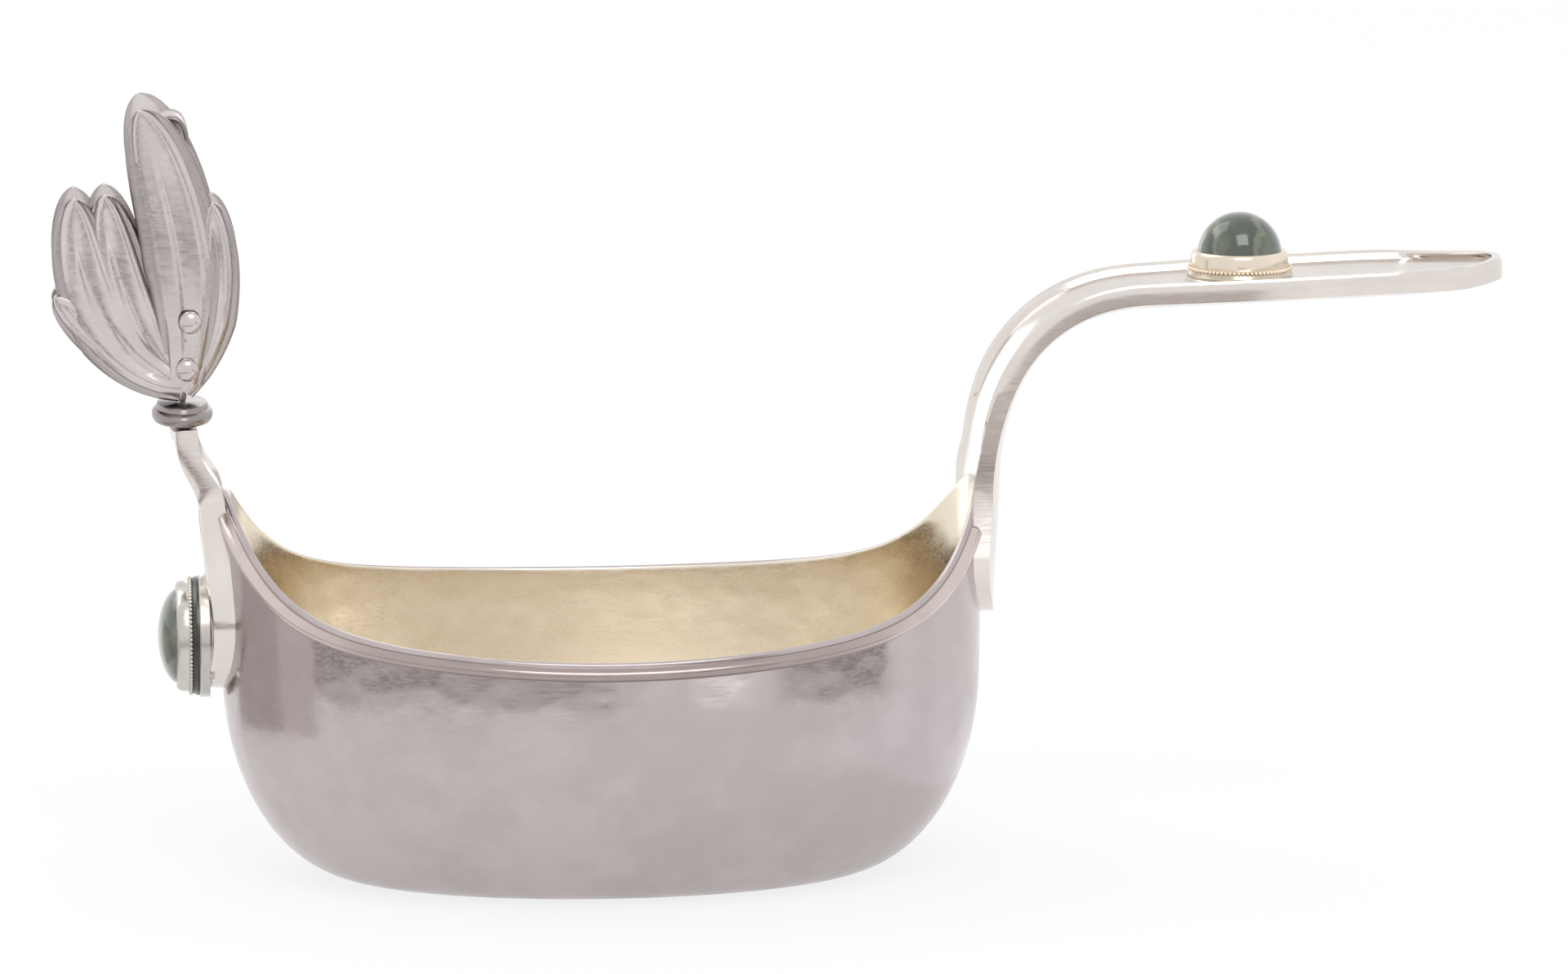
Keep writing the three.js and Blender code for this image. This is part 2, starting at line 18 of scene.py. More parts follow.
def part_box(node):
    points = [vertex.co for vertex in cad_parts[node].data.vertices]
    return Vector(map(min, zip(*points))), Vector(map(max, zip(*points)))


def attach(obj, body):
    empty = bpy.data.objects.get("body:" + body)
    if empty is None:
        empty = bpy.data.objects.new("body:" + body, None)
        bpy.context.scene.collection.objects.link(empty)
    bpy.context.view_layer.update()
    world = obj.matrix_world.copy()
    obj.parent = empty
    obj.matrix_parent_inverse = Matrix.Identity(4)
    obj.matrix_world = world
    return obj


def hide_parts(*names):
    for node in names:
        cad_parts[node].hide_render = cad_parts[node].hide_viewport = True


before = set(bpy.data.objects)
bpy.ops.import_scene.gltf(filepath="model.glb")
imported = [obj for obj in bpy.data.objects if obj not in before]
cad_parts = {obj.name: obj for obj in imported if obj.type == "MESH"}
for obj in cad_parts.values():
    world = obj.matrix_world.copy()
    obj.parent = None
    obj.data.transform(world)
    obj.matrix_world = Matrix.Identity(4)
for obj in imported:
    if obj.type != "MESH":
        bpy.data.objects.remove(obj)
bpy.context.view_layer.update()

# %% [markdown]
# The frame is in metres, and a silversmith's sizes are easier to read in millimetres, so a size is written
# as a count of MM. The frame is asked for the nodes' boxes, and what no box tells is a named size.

MM = 0.001
bowl_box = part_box("bowl")
HALF_LENGTH, HALF_WIDTH, END_HEIGHT = bowl_box[1]
BASE_HALF_LENGTH = 30 * MM
BASE_HALF_WIDTH = 18 * MM
SIDE_HEIGHT = 31.7 * MM
BILGE_HEIGHT = 25 * MM
WALL = 1.0 * MM
PLAN_POINT = 0.88  # 1 is an oval plan, and less blunts its ends
SHEER_SHARE = 0.27  # part of the rim's rise that is spread over the whole length
SHEER_TURN = 9  # power that holds the rest of the rise back to the two ends
print("bowl, half length, half width and height:", HALF_LENGTH, HALF_WIDTH, END_HEIGHT)

# %% [markdown]
# ## Working like a hand does
# Every operator in Blender acts on what is selected. So each step selects its own piece first, and in edit
# mode it takes the whole piece or picks vertices or faces by their place. These helpers hold that habit.


# %% Helpers for modelling
def deselect():
    bpy.ops.object.select_all(action="DESELECT")


def only(piece):
    """Selects one object and nothing else."""
    deselect()
    piece.select_set(True)
    bpy.context.view_layer.objects.active = piece


def settle(piece):
    """Puts an object's place, turn and scale into its mesh."""
    only(piece)
    bpy.ops.object.transform_apply(location=True, rotation=True, scale=True)


def add(name, primitive, **settings):
    """Adds a primitive under its piece's name, with its place in its mesh."""
    deselect()
    primitive(**settings)
    piece = bpy.context.active_object
    piece.name = piece.data.name = name
    settle(piece)
    return piece


def add_grid(name, rows, columns):
    """A flat grid from -1 to 1 each way, which a rule then lays out."""
    return add(name, bpy.ops.mesh.primitive_grid_add, x_subdivisions=rows, y_subdivisions=columns, size=2)


def pick_all():
    bpy.ops.mesh.select_all(action="SELECT")


@contextmanager
def editing(piece):
    """Edit mode on one piece, with all of it selected at first."""
    only(piece)
    bpy.ops.object.mode_set(mode="EDIT")
    pick_all()
    yield
    bpy.ops.object.mode_set(mode="OBJECT")


def pick(piece, test, kind="VERT"):
    """Selects the vertices or faces whose middle passes a test."""
    bpy.ops.mesh.select_mode(type=kind)
    mesh = bmesh.from_edit_mesh(piece.data)
    for item in mesh.verts if kind == "VERT" else mesh.faces:
        item.select_set(test(item.co if kind == "VERT" else item.calc_center_median()))
    mesh.select_flush_mode()
    bmesh.update_edit_mesh(piece.data)


def extrude(move=(0, 0, 0)):
    """Extrudes what is selected and moves the new part."""
    bpy.ops.mesh.extrude_region_move(TRANSFORM_OT_translate={"value": move})


def shape(piece, place):
    """Moves every vertex to where a rule puts it."""
    for vertex in piece.data.vertices:
        vertex.co = place(vertex.co.copy())
    piece.data.update()


def modify(piece, kind, **settings):
    """Adds a modifier, sets it and applies it."""
    modifier = piece.modifiers.new(kind.title(), kind)
    for setting, value in settings.items():
        setattr(modifier, setting, value)
    only(piece)
    bpy.ops.object.modifier_apply(modifier=modifier.name)


def round_edges(piece, width, angle):
    """Rounds the edges that turn by more than an angle."""
    modify(piece, "BEVEL", width=width, segments=2, limit_method="ANGLE", angle_limit=math.radians(angle))


def smooth(piece, levels, angle=40):
    """Subdivision for a fine surface, and smooth shading below an angle."""
    if levels:
        modify(piece, "SUBSURF", levels=levels, render_levels=levels)
    only(piece)
    bpy.ops.object.shade_smooth_by_angle(angle=math.radians(angle))


def turn_outwards(piece):
    """Merges doubled vertices and points all faces outwards."""
    with editing(piece):
        bpy.ops.mesh.remove_doubles(threshold=0.001 * MM)
        bpy.ops.mesh.normals_make_consistent(inside=False)


def steps(first, last, count):
    """Evenly spaced values, both ends included."""
    return [first + (last - first) * i / count for i in range(count + 1)]


def smoothstep(value, low, high):
    share = min(1, max(0, (value - low) / (high - low)))
    return share * share * (3 - 2 * share)


def mix(first, last, share):
    return first + (last - first) * share


def report(piece):
    """Prints a piece's size and its number of faces."""
    sides = zip(*(v.co for v in piece.data.vertices))
    size = ", ".join(f"{(max(side) - min(side)) / MM:.1f}" for side in sides)
    print(f"{piece.name}: {size} mm, {len(piece.data.polygons)} faces")


def finish(piece, material, levels=0, angle=40):
    """The last steps of a piece: its material, a fine surface and its shading."""
    piece.data.materials.append(material)
    smooth(piece, levels, angle)
    report(piece)


# %% [markdown]
# ## Finishes
# Silver is never one colour. Its hollows keep a brown and mauve bloom, its edges are rubbed bright, and a
# planishing hammer leaves shallow facets that break each reflection. All of that comes from textures in
# object coordinates, which stay fixed to the metal. This helper adds a node and wires it in one line.


# %% Helpers for materials
def new_material(name):
    material = bpy.data.materials.new(name)
    material.use_nodes = True
    return material, material.node_tree


def node(tree, kind, inputs=(), **settings):
    """Adds a node. Its inputs are values, or other nodes' sockets to link."""
    made = tree.nodes.new("ShaderNode" + kind)
    for setting, value in settings.items():
        setattr(made, setting, value)
    for socket, value in dict(inputs).items():
        if isinstance(value, bpy.types.NodeSocket):
            tree.links.new(value, made.inputs[socket])
        else:
            made.inputs[socket].default_value = value
    return made


def stretched(tree, scale):
    """Object coordinates, drawn out by a scale along each axis."""
    place = node(tree, "TexCoord").outputs["Object"]
    return node(tree, "Mapping", {"Vector": place, "Scale": scale}).outputs["Vector"]


def noise(tree, size, detail=3.0, scale=(1, 1, 1), roughness=0.5):
    """Noise with features of about a given size, in metres."""
    inputs = {"Vector": stretched(tree, scale), "Scale": 1 / size, "Detail": detail, "Roughness": roughness}
    return node(tree, "TexNoise", inputs).outputs["Fac"]


def ranged(tree, value, low, high, to_low=0.0, to_high=1.0):
    inputs = {"Value": value, "From Min": low, "From Max": high, "To Min": to_low, "To Max": to_high}
    return node(tree, "MapRange", inputs, interpolation_type="SMOOTHSTEP").outputs["Result"]


def blend(tree, share, first, second):
    """A colour between two others."""
    mixed = node(tree, "Mix", {0: share, 6: first, 7: second}, data_type="RGBA")
    return mixed.outputs[2]


def calculate(tree, operation, first, second):
    return node(tree, "Math", {0: first, 1: second}, operation=operation).outputs["Value"]


# %% [markdown]
# ### Polished metal
# One function makes all the metals, because they are worked alike: a bright colour and a bloom of tarnish
# mixed by two sizes of cloudy noise, hammer facets from a soft Voronoi pattern, and hair scratches from a
# noise drawn out along one axis. The metals differ in colours, in how rough they are, and in how deep the
# hammer went. A piece with relief also carries an attribute that is 0 in its hollows and 1 on its crowns.
# The gilding is paler in the middle of the bowl and yellower towards its ends. The wire on the lip is darker
# in the middle, which is painted shade, and lighter at its ends, which is a painted reflection, so both have a
# tint for their ends.

# %% Metal
MIDDLE_PART = 26 * MM  # from the bowl's middle, and without any of the ends' tint
END_PART = 42 * MM  # from here on the tint is full
CLOUD = 26 * MM  # size of the broad clouds in the tarnish
FLECK = 5 * MM  # and of the small ones
HAIR = 0.5 * MM  # size across the hair scratches


def metal(name, bright, bloom, rough, bloom_share, facet=2 * MM, facet_depth=0.01 * MM,
          scratch=0.004 * MM, relief=None, ends=None):
    material, tree = new_material(name)
    shader = tree.nodes["Principled BSDF"]
    cloud = calculate(tree, "ADD", noise(tree, CLOUD, 2.0), noise(tree, FLECK, 4.0))
    tarnish = ranged(tree, cloud, 0.8, 1.25, 0.0, bloom_share)
    if relief:
        height = node(tree, "Attribute", attribute_name=relief).outputs["Fac"]
        hollow = ranged(tree, height, 0.15, 0.75, 1.0, 0.0)
        tarnish = calculate(tree, "MAXIMUM", tarnish, hollow)
    colour = blend(tree, tarnish, (*bright, 1), (*bloom, 1))
    if ends:
        along = node(tree, "SeparateXYZ", {"Vector": stretched(tree, (1, 1, 1))}).outputs["X"]
        at_end = ranged(tree, calculate(tree, "ABSOLUTE", along, 0.0), MIDDLE_PART, END_PART)
        tint = {0: at_end, 6: colour, 7: (*ends, 1)}
        colour = node(tree, "Mix", tint, data_type="RGBA", blend_type="MULTIPLY").outputs[2]
    tree.links.new(colour, shader.inputs["Base Color"])
    hair = noise(tree, HAIR, 5.0, (0.12, 1, 1.4), 0.7)
    roughness = calculate(tree, "ADD", ranged(tree, hair, 0.35, 0.7, rough - 0.05, rough + 0.07),
                          calculate(tree, "MULTIPLY", tarnish, 0.12))
    tree.links.new(roughness, shader.inputs["Roughness"])
    hammered = node(tree, "TexVoronoi", {"Vector": stretched(tree, (1, 1, 1.15)), "Scale": 1 / facet,
                                         "Smoothness": 0.4}, feature="SMOOTH_F1")
    facets = node(tree, "Bump", {"Height": hammered.outputs["Distance"], "Distance": facet_depth,
                                 "Strength": 1.0})
    scratches = node(tree, "Bump", {"Height": hair, "Distance": scratch, "Strength": 0.6,
                                    "Normal": facets.outputs["Normal"]})
    tree.links.new(scratches.outputs["Normal"], shader.inputs["Normal"])
    shader.inputs["Metallic"].default_value = 1.0
    return material


# The bowl's silver is darker than polished silver: partly a mauve tarnish, and partly painted shade that
# stands in for the grey surroundings the polished bowl would mirror.
silver = metal("silver", (0.528, 0.472, 0.470), (0.40, 0.35, 0.352), rough=0.16, bloom_share=0.35,
               facet=3.6 * MM, facet_depth=0.045 * MM)
# The straps' silver is painted lighter than the bowl's, as painted light for the bright reflection the straps
# catch from above.
strap_silver = metal("strap_silver", (0.77, 0.72, 0.68), (0.60, 0.54, 0.50), rough=0.13,
                     bloom_share=0.25, facet=6 * MM, facet_depth=0.02 * MM)
# The wire's silver is darker than the bowl's as painted shade along the lip, and the tint for its ends
# lightens them as a painted reflection.
wire_silver_painted_light = metal("wire_silver_painted_light", (0.41, 0.35, 0.33), (0.31, 0.26, 0.24), rough=0.16, bloom_share=0.35,
                    facet=3.6 * MM, facet_depth=0.01 * MM, ends=(1.65, 1.70, 1.70))
# The gilding is paler in the middle of the bowl and yellower towards its ends.
gilding = metal("gilding", (0.85, 0.785, 0.69), (0.75, 0.665, 0.53), rough=0.2, bloom_share=0.35,
                facet=3.6 * MM, facet_depth=0.045 * MM, ends=(0.98, 0.95, 0.87))
setting_gilding = metal("setting_gilding", (0.86, 0.76, 0.64), (0.64, 0.53, 0.41), 0.16, bloom_share=0.4)
plate_gilding = metal("plate_gilding", (0.62, 0.54, 0.44), (0.42, 0.35, 0.27), 0.18, bloom_share=0.4)
aged_silver = metal("aged_silver", (0.72, 0.69, 0.65), (0.40, 0.38, 0.34), 0.18, bloom_share=0.6)
black_silver = metal("black_silver", (0.12, 0.125, 0.11), (0.04, 0.045, 0.04), 0.22, bloom_share=0.6)
cast_silver = metal("cast_silver", (0.645, 0.60, 0.595), (0.285, 0.25, 0.245), rough=0.2,
                    bloom_share=0.2, facet=1.2 * MM, facet_depth=0.012 * MM, scratch=0.001 * MM,
                    relief="relief")

# %% [markdown]
# ### Green stone
# The two stones are polished domes of dark green stone. Cloudy noise carries two greens, a thin vein runs
# through them, and a clear coat gives the wet polish.


# %% Stone
STONE_CLOUD = 3.5 * MM
POLISH_MARK = 1.2 * MM


def stone(name, deep, pale, vein):
    material, tree = new_material(name)
    shader = tree.nodes["Principled BSDF"]
    body = blend(tree, ranged(tree, noise(tree, STONE_CLOUD, 4.0), 0.35, 0.7), (*deep, 1), (*pale, 1))
    line = node(tree, "TexWave", {"Vector": stretched(tree, (1, 1.6, 0.8)), "Scale": 60, "Distortion": 9.0,
                                  "Detail": 4.0, "Detail Scale": 2.0}).outputs["Fac"]
    veined = blend(tree, ranged(tree, line, 0.86, 0.99, 0.0, 0.5), body, (*vein, 1))
    tree.links.new(veined, shader.inputs["Base Color"])
    tree.links.new(ranged(tree, noise(tree, POLISH_MARK), 0.3, 0.8, 0.12, 0.2), shader.inputs["Roughness"])
    shader.inputs["Coat Weight"].default_value = 1.0
    shader.inputs["Coat Roughness"].default_value = 0.04
    shader.inputs["IOR"].default_value = 1.61
    return material


handle_stone_finish = stone(
    "handle_stone_finish", (0.036, 0.049, 0.03), (0.105, 0.13, 0.08), (0.22, 0.24, 0.16)
)
prow_stone_finish = stone(
    "prow_stone_finish", (0.06, 0.075, 0.052), (0.15, 0.175, 0.125), (0.24, 0.25, 0.18)
)

# %% [markdown]
# ## The bowl
# A smith sinks and raises a bowl course by course, each ring of hammer blows a little higher. The model
# goes the same way: a circle is drawn out to the flat oval underside, then extruded and widened ring by
# ring round the bilge, and carried up the side. A rule lifts the top rings to the sheer, the rim's sweep.

# %% Rules for the bowl's form
def sheer(place):
    """Height of the rim above or below a place on the plan."""
    along = abs(math.cos(plan_angle(place)))
    return mix(SIDE_HEIGHT, END_HEIGHT, mix(along**SHEER_TURN, along**2, SHEER_SHARE))


def plan_angle(place):
    across = math.copysign(abs(place.y / HALF_WIDTH) ** (1 / PLAN_POINT), place.y)
    return math.atan2(across, place.x / HALF_LENGTH)


def bilge_ring(turn):
    """Half length, half width and height of a ring part way round the bilge's quarter turn."""
    bulge = math.sin(turn)
    return (
        mix(BASE_HALF_LENGTH, HALF_LENGTH, bulge),
        mix(BASE_HALF_WIDTH, HALF_WIDTH, bulge),
        BILGE_HEIGHT * (1 - math.cos(turn)),
    )


def draw_ring(old, new):
    """Extrudes the selected ring up and widens it to its new half length and half width."""
    extrude((0, 0, new[2] - old[2]))
    bpy.ops.transform.resize(value=(new[0] / old[0], new[1] / old[1], 1), center_override=(0, 0, new[2]))


# %% Raise the bowl
AROUND = 72
BILGE_RINGS = 9
SIDE_RINGS = 4

bowl = add("kovsh_bowl", bpy.ops.mesh.primitive_circle_add, vertices=AROUND, radius=1)
shape(bowl, lambda v: Vector((v.x, math.copysign(abs(v.y) ** PLAN_POINT, v.y), 0)))
shape(bowl, lambda v: Vector((v.x * BASE_HALF_LENGTH, v.y * BASE_HALF_WIDTH, 0)))
with editing(bowl):
    rings = [bilge_ring(turn) for turn in steps(0, math.pi / 2, BILGE_RINGS)]
    side_heights = steps(BILGE_HEIGHT, END_HEIGHT, SIDE_RINGS)[1:]
    rings += [(HALF_LENGTH, HALF_WIDTH, height) for height in side_heights]
    for old, new in zip(rings, rings[1:]):
        draw_ring(old, new)
    pick(bowl, lambda v: v.z < 0.01 * MM)
    for share in (0.66, 0.5):
        extrude()
        bpy.ops.transform.resize(value=(share, share, 1), center_override=(0, 0, 0))
    bpy.ops.mesh.edge_face_add()
turn_outwards(bowl)


def to_sheer(v):
    if v.z <= BILGE_HEIGHT:
        return v
    share = (v.z - BILGE_HEIGHT) / (END_HEIGHT - BILGE_HEIGHT)
    return Vector((v.x, v.y, mix(BILGE_HEIGHT, sheer(v), share)))


shape(bowl, to_sheer)
report(bowl)

# %% [markdown]
# The sheet gets its thickness inwards, so that the outside keeps its size. Solidify can put the new inner
# faces in the next material slot, and that is the gilding: the smith gilds the inside and stops at the lip.
# A bevel rounds the lip before the whole is subdivided, so that it stays crisp.

# %% Thickness, gilding and lip
LIP = 0.32 * MM
bowl.data.materials.append(silver)
bowl.data.materials.append(gilding)
modify(bowl, "SOLIDIFY", thickness=WALL, offset=-1, use_even_offset=True, material_offset=1)
round_edges(bowl, LIP, 60)
smooth(bowl, 2)
report(bowl)

# %% [markdown]
# ## The rim wires
# A thin rim dents, so a half-round wire is soldered along each side, just under the edge. A curve does this
# in two parts: a path along the wall, and a D-shaped section that follows it. Z Up keeps the section's flat
# side on the wall all the way.

# %% Rim wires
WIRE_HEIGHT = 1.7 * MM
WIRE_DEPTH = 1.0 * MM
WIRE_BELOW_RIM = 0.5 * MM
WIRE_SUNK = 0.1 * MM  # solder fills the corner, so the wire's back lies a little in the wall
WIRE_STEPS = 90


def poly_curve(name, places, cyclic=False):
    """A curve through places, made from Blender's own path."""
    deselect()
    bpy.ops.curve.primitive_nurbs_path_add()
    curve = bpy.context.active_object
    curve.name = name
    curve.data.splines.clear()
    spline = curve.data.splines.new("POLY")
    spline.points.add(len(places) - 1)
    for point, place in zip(spline.points, places):
        point.co = (*place, 1)
    spline.use_cyclic_u = cyclic
    return curve


def wall_place(angle, height, outside=0.0):
    """A place on the upright side at an angle round the plan, 0 at the handle."""
    across = math.copysign(abs(math.sin(angle)) ** PLAN_POINT, math.sin(angle))
    return Vector(((HALF_LENGTH + outside) * math.cos(angle), (HALF_WIDTH + outside) * across, height))


def climb(angle):
    """How much longer the rim is than its plan where it climbs."""
    low, high = (wall_place(turn, 0) for turn in (angle - 0.01, angle + 0.01))
    run = high - low
    return math.hypot(run.length, sheer(high) - sheer(low)) / run.length


def wire_path(node_name):
    """The wire's middle line. It runs so that the section's round side faces away from the bowl."""
    low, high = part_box(node_name)
    side = math.copysign(1, low.y + high.y)
    first = math.acos(min(1, high.x / (HALF_LENGTH + WIRE_DEPTH)))
    last = math.acos(max(-1, low.x / (HALF_LENGTH + WIRE_DEPTH)))
    places = []
    for angle in steps(first, last, WIRE_STEPS):
        place = wall_place(angle, 0, -WIRE_SUNK)
        height = sheer(wall_place(angle, 0)) - (WIRE_BELOW_RIM + WIRE_HEIGHT / 2) * climb(angle)
        places.append(Vector((place.x, side * place.y, height)))
    return places if side > 0 else places[::-1]


section = poly_curve(
    "wire_section",
    [((WIRE_DEPTH + WIRE_SUNK) * math.cos(turn), WIRE_HEIGHT / 2 * math.sin(turn), 0)
     for turn in steps(-math.pi / 2, math.pi / 2, 10)],
    cyclic=True,
)
wires = []
for node_name in ("rim_wire_near", "rim_wire_far"):
    wire = poly_curve(node_name + "_wire", wire_path(node_name))
    wire.data.dimensions = "3D"
    wire.data.twist_mode = "Z_UP"
    wire.data.bevel_mode = "OBJECT"
    wire.data.bevel_object = section
    wire.data.use_fill_caps = True
    only(wire)
    bpy.ops.object.convert(target="MESH")
    turn_outwards(wire)
    finish(wire, wire_silver_painted_light, angle=50)
    wires.append(wire)
bpy.data.objects.remove(section)

# %% [markdown]
# ## Straps
# Handle and prow are forged flat first: a strip is cut to its outline with a rounded end, a border is
# raised along its edge, and only then is it bent. The model keeps that order. A grid is laid out as the
# flat blank, with its end rows turned into arcs so that no faces pinch at the tip. Inset draws the border
# at one width all round, and moving its faces raises it.

# %% Flat blanks
BORDER_HEIGHT = 0.6 * MM
BORDER_WIDTH = 1.3 * MM
BORDER_SLOPE = 0.45 * MM
EDGE_ROUND = 0.3 * MM
EDGE_BEVEL = 0.25 * MM
STRAP_THICKNESS = 2.0 * MM
TONGUE_THICKNESS = 1.3 * MM
CAP_ROWS = 6
COLUMNS = 8


def cap_place(share, across, reach, half):
    """A place in a rounded end, where share is 0 at the start of the rounding and 1 at the end."""
    turn = math.radians(90 - 45 * share)
    along = mix(math.cos(turn), math.cos(across * turn), share)
    aside = mix(across * math.sin(turn), math.sin(across * turn), share)
    return reach * along, half * aside


def blank(name, length, half_width_at, foot_round, tip_round, rows):
    """A flat strip on the XY plane, foot at X 0, with its border raised on top."""
    piece = add_grid(name, rows, COLUMNS)
    tip_rows = CAP_ROWS if tip_round else 0

    def cut(v):
        row = round((v.x + 1) / 2 * rows)
        if row < CAP_ROWS:
            along, aside = cap_place(1 - row / CAP_ROWS, v.y, foot_round, half_width_at(foot_round))
            return Vector((foot_round - along, aside, 0))
        if row > rows - tip_rows:
            start = length - tip_round
            share = (row - rows + tip_rows) / tip_rows
            along, aside = cap_place(share, v.y, tip_round, half_width_at(start))
            return Vector((start + along, aside, 0))
        x = mix(foot_round, length - tip_round, (row - CAP_ROWS) / (rows - CAP_ROWS - tip_rows))
        return Vector((x, v.y * half_width_at(x), 0))

    shape(piece, cut)
    with editing(piece):
        extrude((0, 0, -STRAP_THICKNESS))
        pick_all()
        bpy.ops.mesh.normals_make_consistent(inside=False)
        pick(piece, lambda middle: middle.z > -0.1 * MM, "FACE")
        bpy.ops.mesh.inset(thickness=EDGE_ROUND, use_even_offset=False)
        bpy.ops.transform.translate(value=(0, 0, BORDER_HEIGHT))
        bpy.ops.mesh.inset(thickness=BORDER_WIDTH - EDGE_ROUND, use_even_offset=False)
        bpy.ops.mesh.inset(thickness=BORDER_SLOPE, use_even_offset=False)
        bpy.ops.transform.translate(value=(0, 0, -BORDER_HEIGHT))
    return piece


# %% [markdown]
# A strap leaves the bowl's curved end and turns into a free strip with a shallow hollow, so its section
# changes along its length. One rule gives each place of the blank its distance from the spine, and then a
# Curve modifier bends the blank along that spine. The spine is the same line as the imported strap's. Where it
# starts straight up it also turns the blank by a quarter about its length, so the blank is turned first, one
# way for the handle and the other for the prow.

# %% Forming and bending a blank
SEAM = 0.3 * MM
SOLDER = 0.42 * MM  # fills the seam under a strap's foot and closes its rounded edge
SOLDER_END = 3 * MM  # length in which the solder runs out past the foot
FREE_BLEND = 14 * MM  # length in which the strap takes its free section
wall_out = HALF_LENGTH + SEAM


def end_curve(across):
    """How far the bowl's end has curved back, at a distance to one side of its middle."""
    share = min(1, abs(across) / HALF_WIDTH)
    return HALF_LENGTH * (1 - math.sqrt(1 - share ** (2 / PLAN_POINT)))


def spine_length(places):
    """Length of a Bezier spine through places of (point, handle in, handle out)."""
    points = []
    for (start, _, leave), (end, arrive, _) in zip(places, places[1:]):
        points += interpolate_bezier(start, leave, arrive, end, 200)
    return sum((b - a).length for a, b in zip(points, points[1:]))


def in_plane(*pairs):
    return [Vector((x, 0, z)) for x, z in pairs]


def form(piece, length, half_width_at, on_bowl, dish, outside_border=False, open_top=False):
    """Gives the flat blank its section: Z becomes the distance out from the spine."""

    def place(v):
        half = half_width_at(v.x)
        soldered = -SOLDER * (1 - smoothstep(v.x, on_bowl, on_bowl + SOLDER_END))
        free = smoothstep(v.x, on_bowl, on_bowl + FREE_BLEND)
        thickness = mix(TONGUE_THICKNESS, STRAP_THICKNESS, smoothstep(v.x, 0, on_bowl))
        to_end = v.x if open_top else min(v.x, length - v.x)
        hollow = dish * (1 - (1 - min(1, (v.y / half) ** 2)) * smoothstep(to_end, 0, half + dish))
        fall = mix(end_curve(v.y), hollow, free)
        top = v.z > -0.5 * STRAP_THICKNESS
        if outside_border:
            out = thickness + v.z if top else soldered
        else:
            out = soldered - v.z * free if top else thickness
        return Vector((v.x, v.y, out - fall))

    shape(piece, place)


def bend(piece, places, quarter_turns):
    """Turns a blank about its length and bends it along the spine through its places."""
    deselect()
    bpy.ops.curve.primitive_bezier_curve_add()
    spine = bpy.context.active_object
    spine.data.splines.clear()
    spine.data.resolution_u = 64
    spline = spine.data.splines.new("BEZIER")
    spline.bezier_points.add(len(places) - 1)
    for point, (middle, arrive, leave) in zip(spline.bezier_points, places):
        point.handle_left_type = point.handle_right_type = "FREE"
        point.co, point.handle_left, point.handle_right = middle, arrive, leave
    piece.rotation_euler.x = quarter_turns * math.pi / 2
    settle(piece)
    modify(piece, "CURVE", object=spine, deform_axis="POS_X")
    bpy.data.objects.remove(spine)


def finish_strap(piece):
    """Rounds a bent strap's edges and gives it its metal and a fine surface."""
    turn_outwards(piece)
    round_edges(piece, EDGE_BEVEL, 35)
    finish(piece, strap_silver, 2, 60)


# %% [markdown]
# ### The handle
# The handle climbs the bowl's end, swings out through a bend and runs almost level to a rounded tip. Thumb
# and fingers hold it above and below, so it is hollowed lengthwise to sit in the hand.

# %% Handle strap
HANDLE_HALF = 10 * MM  # half of its width
HANDLE_WAIST = 1.5 * MM  # how far each edge draws in where it rises
HANDLE_TONGUE = 17 * MM  # how far its foot reaches down the bowl's end
HANDLE_LEAVES = 1 * MM  # below the rim, where it leaves the wall
HANDLE_RISE = 22.6 * MM  # from the rim to the grip
HANDLE_BEND = 19.5 * MM  # from the wall to the grip
HANDLE_GRIP = 44.8 * MM
HANDLE_LIFT = 1.8 * MM  # how much higher the grip ends than it starts
HANDLE_DISH = 1.4 * MM
HANDLE_TIP = 17 * MM
grip_height = END_HEIGHT + HANDLE_RISE
grip_start = wall_out + HANDLE_BEND
grip_slope = HANDLE_LIFT / HANDLE_GRIP

foot, rim_end, bend_end, tip = in_plane(
    (wall_out, END_HEIGHT - HANDLE_TONGUE),
    (wall_out, END_HEIGHT - HANDLE_LEAVES),
    (grip_start, grip_height),
    (grip_start + HANDLE_GRIP, grip_height + HANDLE_LIFT),
)
up, over = in_plane(
    (wall_out, END_HEIGHT + 0.55 * HANDLE_RISE),
    (wall_out + 0.34 * HANDLE_BEND, grip_height - 0.66 * HANDLE_BEND * grip_slope),
)
third = (rim_end - foot) / 3
grip_third = (tip - bend_end) / 3
handle_spine = [
    (foot, foot - third, foot + third),
    (rim_end, rim_end - third, up),
    (bend_end, over, bend_end + grip_third),
    (tip, tip - grip_third, tip + grip_third),
]
handle_length = spine_length(handle_spine)


def handle_half_width(distance):
    waist = math.sin(math.pi * min(1, max(0, distance - HANDLE_TONGUE) / (handle_length / 2))) ** 2
    return HANDLE_HALF - HANDLE_WAIST * waist


handle = blank("handle", handle_length, handle_half_width, HANDLE_TONGUE / 2, HANDLE_TIP, 44)
form(handle, handle_length, handle_half_width, HANDLE_TONGUE, HANDLE_DISH)
bend(handle, handle_spine, quarter_turns=1)
finish_strap(handle)

# %% [markdown]
# ### The prow
# The prow strap is the handle's twin at the other end. Its foot is broad enough for a stone, it narrows to
# a neck at the rim, leans out and stands upright again under the finial. Its border is on the outer face.

# %% Prow strap
PROW_HALF = 9.5 * MM
NECK_HALF = 6 * MM
PROW_TONGUE = 25 * MM
PROW_LEAVES = 3 * MM
PROW_RISE = 7.8 * MM
PROW_LEAN = 3.1 * MM
PROW_DISH = 0.9 * MM
PROW_TIP = 9 * MM
prow_out = wall_out + PROW_LEAN
prow_top = END_HEIGHT + PROW_RISE

